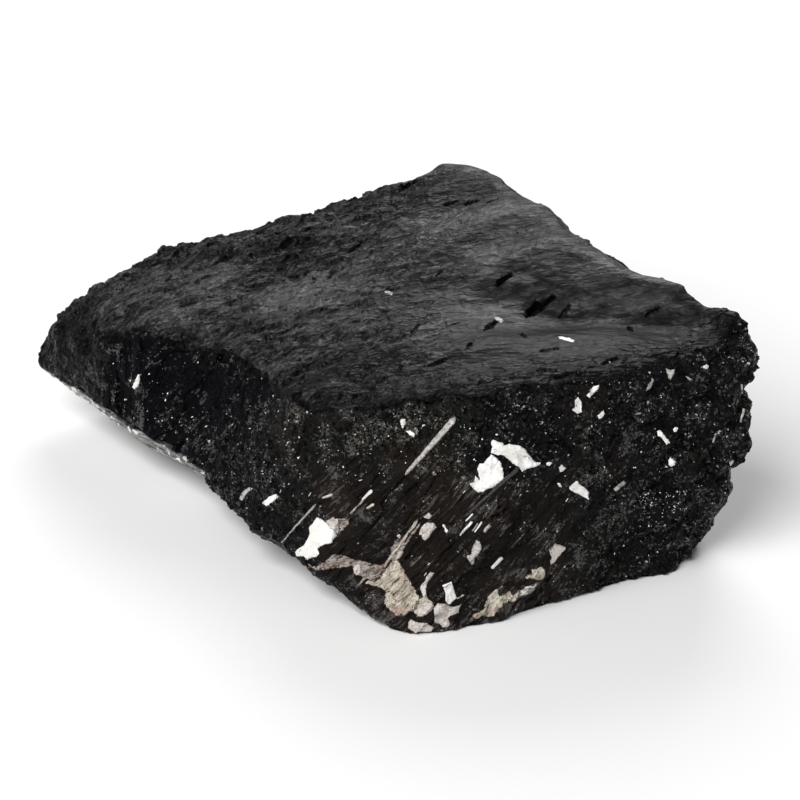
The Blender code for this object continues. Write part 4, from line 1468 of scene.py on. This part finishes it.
    Patch("flake_i", Mineral.MILKY, ((665, 365), (667, 369), (671, 370), (675, 369), (674, 374), (671, 380),
        (668, 378), (667, 373))),
    Patch("flake_j", Mineral.MILKY, ((643, 392), (646, 390), (648, 385), (651, 381), (652, 376), (654, 380),
        (652, 386), (648, 390))),
    Patch("flake_k", Mineral.WHITE, ((668, 460), (671, 458), (675, 461), (675, 465), (671, 467),
        (669, 465))),
    Patch("flake_o", Mineral.WHITE, ((673, 429), (675, 427), (678, 428), (677, 431), (674, 432))),
    Patch("flake_p", Mineral.MILKY, ((685, 375), (689, 377), (692, 380), (689, 380))),
    Patch("flake_q", Mineral.WHITE, ((746, 363), (748, 361), (750, 363), (749, 365))),
    Lath("flake_r", Mineral.MILKY, ((741, 423), (743.5, 408)), ragged_px=0.8, width_px=3.0),
    Lath("flake_s", Mineral.MILKY, ((713, 443), (716, 433)), width_px=2.2),
    Lath("flake_t", Mineral.MILKY, ((635, 414.5), (641, 413)), ragged_px=0.4, width_px=2.0),
    Lath("flake_u", Mineral.MILKY, ((742, 394), (742, 384)), ragged_px=0.6),
    Patch("flake_v", Mineral.MILKY, ((730, 459), (734, 459), (733, 464), (730, 466))),
    Patch("flake_w", Mineral.WHITE, ((703, 366), (706, 364), (709, 366), (707, 369), (704, 369))),
    Patch("flake_l", Mineral.WHITE, ((262, 503), (268, 497), (276, 494), (279, 497), (272, 502),
        (266, 506))),
    Patch("flake_m", Mineral.MILKY, ((239, 499), (243, 491), (250, 487), (253, 488), (246, 494),
        (242, 501))),
    Patch("flake_n", Mineral.WHITE, ((132, 387), (136, 378), (139, 373), (140, 380), (138, 386),
        (134, 389))),
    # The top's glints are painted highlights: pale patches where the top shines.
    Patch("top_glint_a", Mineral.WHITE, ((558, 336), (564, 337), (570, 338.5), (574, 340), (573, 342),
        (566, 340.5), (560, 338.5)), proud=0.15, ragged_px=1.2),
    Patch("top_glint_b", Mineral.MILKY, ((494, 317), (499, 317), (504, 321), (501, 323), (496, 320)),
        proud=0.1),
    Patch("top_glint_c", Mineral.MILKY, ((383, 291), (389, 291), (394, 293), (391, 295), (385, 293)),
        proud=0.1),
)


# ---- The seam ----


@dataclass(frozen=True)
class QuartzSeam:
    """The quartz layer under the flank's edge, in thin plates.

    Attributes:
        voxel: side of its mesh's faces.
        swell: how far it is swelled to close the gap to its socket.
        plate: thickness of a plate.
        plate_side: its length and width.
        relief: how far the plates' edges stand out.
        grain_size, grain_relief: of the grains on them.
    """

    voxel: float = 0.4
    swell: float = 0.05
    plate: float = 0.7
    plate_side: float = 7.0
    relief: float = 0.3
    grain_size: float = 1.1
    grain_relief: float = 0.18

    def build(self, material: bpy.types.Material) -> bpy.types.Object:
        """Builds and dresses the seam."""
        work = opened(remeshed(mesh_of(cad_shape(["quartz_seam"], self.swell), "seam"), self.voxel))
        work.normal_update()
        for vert in work.verts:
            spot = vert.co / MM
            plates = facet(scaled(spot, self.plate_side, self.plate_side, self.plate))
            grain = noise.noise(spot / self.grain_size)
            vert.co += vert.normal * MM * (self.relief * 0.5 * plates + self.grain_relief * grain)
        rest_on_floor(work)
        return piece("quartz_rim", mesh_of(work, "quartz_rim"), material, ["quartz_seam"])


# ---- Flecks ----


@dataclass(frozen=True)
class Flecks:
    """Tiny bright crystals scattered over part of the breaks.

    Attributes:
        name: the piece's name.
        area: a box in the picture: left, top, right and bottom.
        count: how many.
        lengths: shortest and longest.
        slimness: their width as a share of their length.
        lean_deg: how they lean in the picture, or nothing where they lie anyhow.
        seed: of their places.
    """

    name: str
    area: tuple[float, float, float, float]
    count: int
    lengths: tuple[float, float]
    slimness: float
    lean_deg: float | None
    seed: int

    LEAN_SPREAD = 9.0  # degrees
    TILT = 0.6  # most, in radians
    FLATNESS = (0.3, 0.6)
    SHORTER = 2.0  # the higher, the more of them are short
    TOP_LEVEL = 0.6  # none where the normal's Z is more than this

    def build(self, block: BVHTree, camera: ViewingCamera, material: bpy.types.Material) -> bpy.types.Object:
        """Builds and dresses the flecks.

        Args:
            block: the block's surface, in metres.
            camera: what the area was drawn from.
            material: their finish.

        Returns:
            The piece.
        """
        rng = random.Random(self.seed)
        work = bmesh.new()
        for _ in range(self.count):
            pixel = (rng.uniform(self.area[0], self.area[2]), rng.uniform(self.area[1], self.area[3]))
            length = self.lengths[0] * (self.lengths[1] / self.lengths[0]) ** (rng.random() ** self.SHORTER)
            if self.lean_deg is None:
                lean = rng.uniform(0.0, 180.0)
            else:
                lean = rng.gauss(self.lean_deg, self.LEAN_SPREAD)
            tilt = Matrix.Rotation(rng.uniform(-self.TILT, self.TILT), 4, "X")
            flat = rng.uniform(*self.FLATNESS)
            place, normal, _, _ = block.ray_cast(camera.place, camera.direction(pixel))
            if place is None or normal.z > self.TOP_LEVEL:
                continue
            along = Vector((math.cos(math.radians(lean)), 0.0, math.sin(math.radians(lean))))
            along = (along - normal * along.dot(normal)).normalized()
            turn = Matrix((along, normal.cross(along), normal)).transposed().to_4x4()
            size = Matrix.Diagonal((length, length * self.slimness, length * self.slimness * flat, 1.0))
            matrix = Matrix.Translation(place) @ turn @ tilt @ Matrix.Scale(MM, 4) @ size
            bmesh.ops.create_icosphere(work, subdivisions=1, radius=0.5, matrix=matrix)
        rest_on_floor(work)
        return piece(self.name, mesh_of(work, self.name), material)


FLECKS = (
    Flecks("flecks_rim", (150.0, 415.0, 290.0, 478.0), 110, (0.2, 1.2), 0.3, 35.0, 3),
    Flecks("flecks_flank", (105.0, 350.0, 290.0, 430.0), 70, (0.2, 0.8), 0.5, 60.0, 4),
    Flecks("flecks_crust", (290.0, 400.0, 610.0, 480.0), 120, (0.18, 0.6), 0.7, None, 5),
    Flecks("flecks_blades", (270.0, 480.0, 600.0, 610.0), 90, (0.25, 1.8), 0.16, 48.0, 6),
    Flecks("flecks_right", (600.0, 365.0, 755.0, 560.0), 80, (0.18, 0.7), 0.6, None, 8),
    Flecks("flecks_cluster", (640.0, 490.0, 690.0, 528.0), 60, (0.2, 0.6), 0.7, None, 9),
    Flecks("flecks_brow", (555.0, 360.0, 610.0, 410.0), 30, (0.2, 0.8), 0.5, None, 10),
)


# ---- The studio ----


@dataclass(frozen=True)
class SoftBox:
    """A square soft light that faces the specimen.

    Attributes:
        name: its name.
        place: where it stands, in metres.
        side: its side, in metres.
        radiance: its brightness.
    """

    name: str
    place: tuple[float, float, float]
    side: float
    radiance: float

    AIM = (0.0, 0.0, 0.03)  # the specimen's middle, in metres

    def build(self) -> None:
        """Adds the light to the scene."""
        lamp = bpy.data.lights.new(self.name, "AREA")
        lamp.shape = "SQUARE"
        lamp.size = self.side
        lamp.energy = self.radiance * math.pi * self.side ** 2
        made = bpy.data.objects.new(self.name, lamp)
        made.location = self.place
        towards = Vector(self.AIM) - Vector(self.place)
        made.rotation_mode = "QUATERNION"
        made.rotation_quaternion = towards.to_track_quat("-Z", "Y")
        bpy.context.scene.collection.objects.link(made)


@dataclass(frozen=True)
class Studio:
    """A pale floor, soft light and plain surroundings."""

    floor_side: float = 8.0
    floor_tone: str = "fbfbfb"
    floor_roughness: float = 0.9
    floor_drop: float = 0.1
    surround_tone: str = "787878"
    lights: tuple[SoftBox, ...] = (
        SoftBox("softbox_back", (0.1, 0.95, 0.8), 0.7, 4.6),
        SoftBox("softbox_key", (-0.6, -0.8, 1.2), 1.0, 7.4),
    )

    def build(self) -> None:
        """Builds the studio."""
        work = bmesh.new()
        bmesh.ops.create_grid(work, x_segments=1, y_segments=1, size=self.floor_side / 2.0)
        bmesh.ops.translate(work, verts=work.verts, vec=(0.0, 0.0, -self.floor_drop * MM))
        floor = bpy.data.objects.new("floor", mesh_of(work, "floor"))
        card = bpy.data.materials.new("matt_white_card")
        card.use_nodes = True
        shader = card.node_tree.nodes["Principled BSDF"]
        shader.inputs["Base Color"].default_value = linear(self.floor_tone)
        shader.inputs["Roughness"].default_value = self.floor_roughness
        shader.inputs["Specular IOR Level"].default_value = 0.0
        floor.data.materials.append(card)
        bpy.context.scene.collection.objects.link(floor)
        world = bpy.data.worlds.new("surroundings")
        world.use_nodes = True
        world.node_tree.nodes["Background"].inputs["Color"].default_value = linear(self.surround_tone)
        bpy.context.scene.world = world
        for light in self.lights:
            light.build()
        bpy.context.scene.view_settings.view_transform = "Standard"


# ---- Building ----


def main() -> None:
    """Builds the specimen and its studio."""
    logging.basicConfig(level=logging.INFO, format="%(name)s: %(message)s")
    camera = ViewingCamera()
    camera.build()
    Studio().build()
    block = TourmalineBlock().build(camera)
    surface = BVHTree.FromObject(block, bpy.context.evaluated_depsgraph_get())
    finishes = {mineral: mineral.value.material() for mineral in Mineral}
    for patch in PATCHES:
        patch.build(surface, camera, finishes[patch.mineral])
    QuartzSeam().build(finishes[Mineral.VEIN])
    for flecks in FLECKS:
        flecks.build(surface, camera, finishes[Mineral.WHITE])


if __name__ == "__main__":
    main()
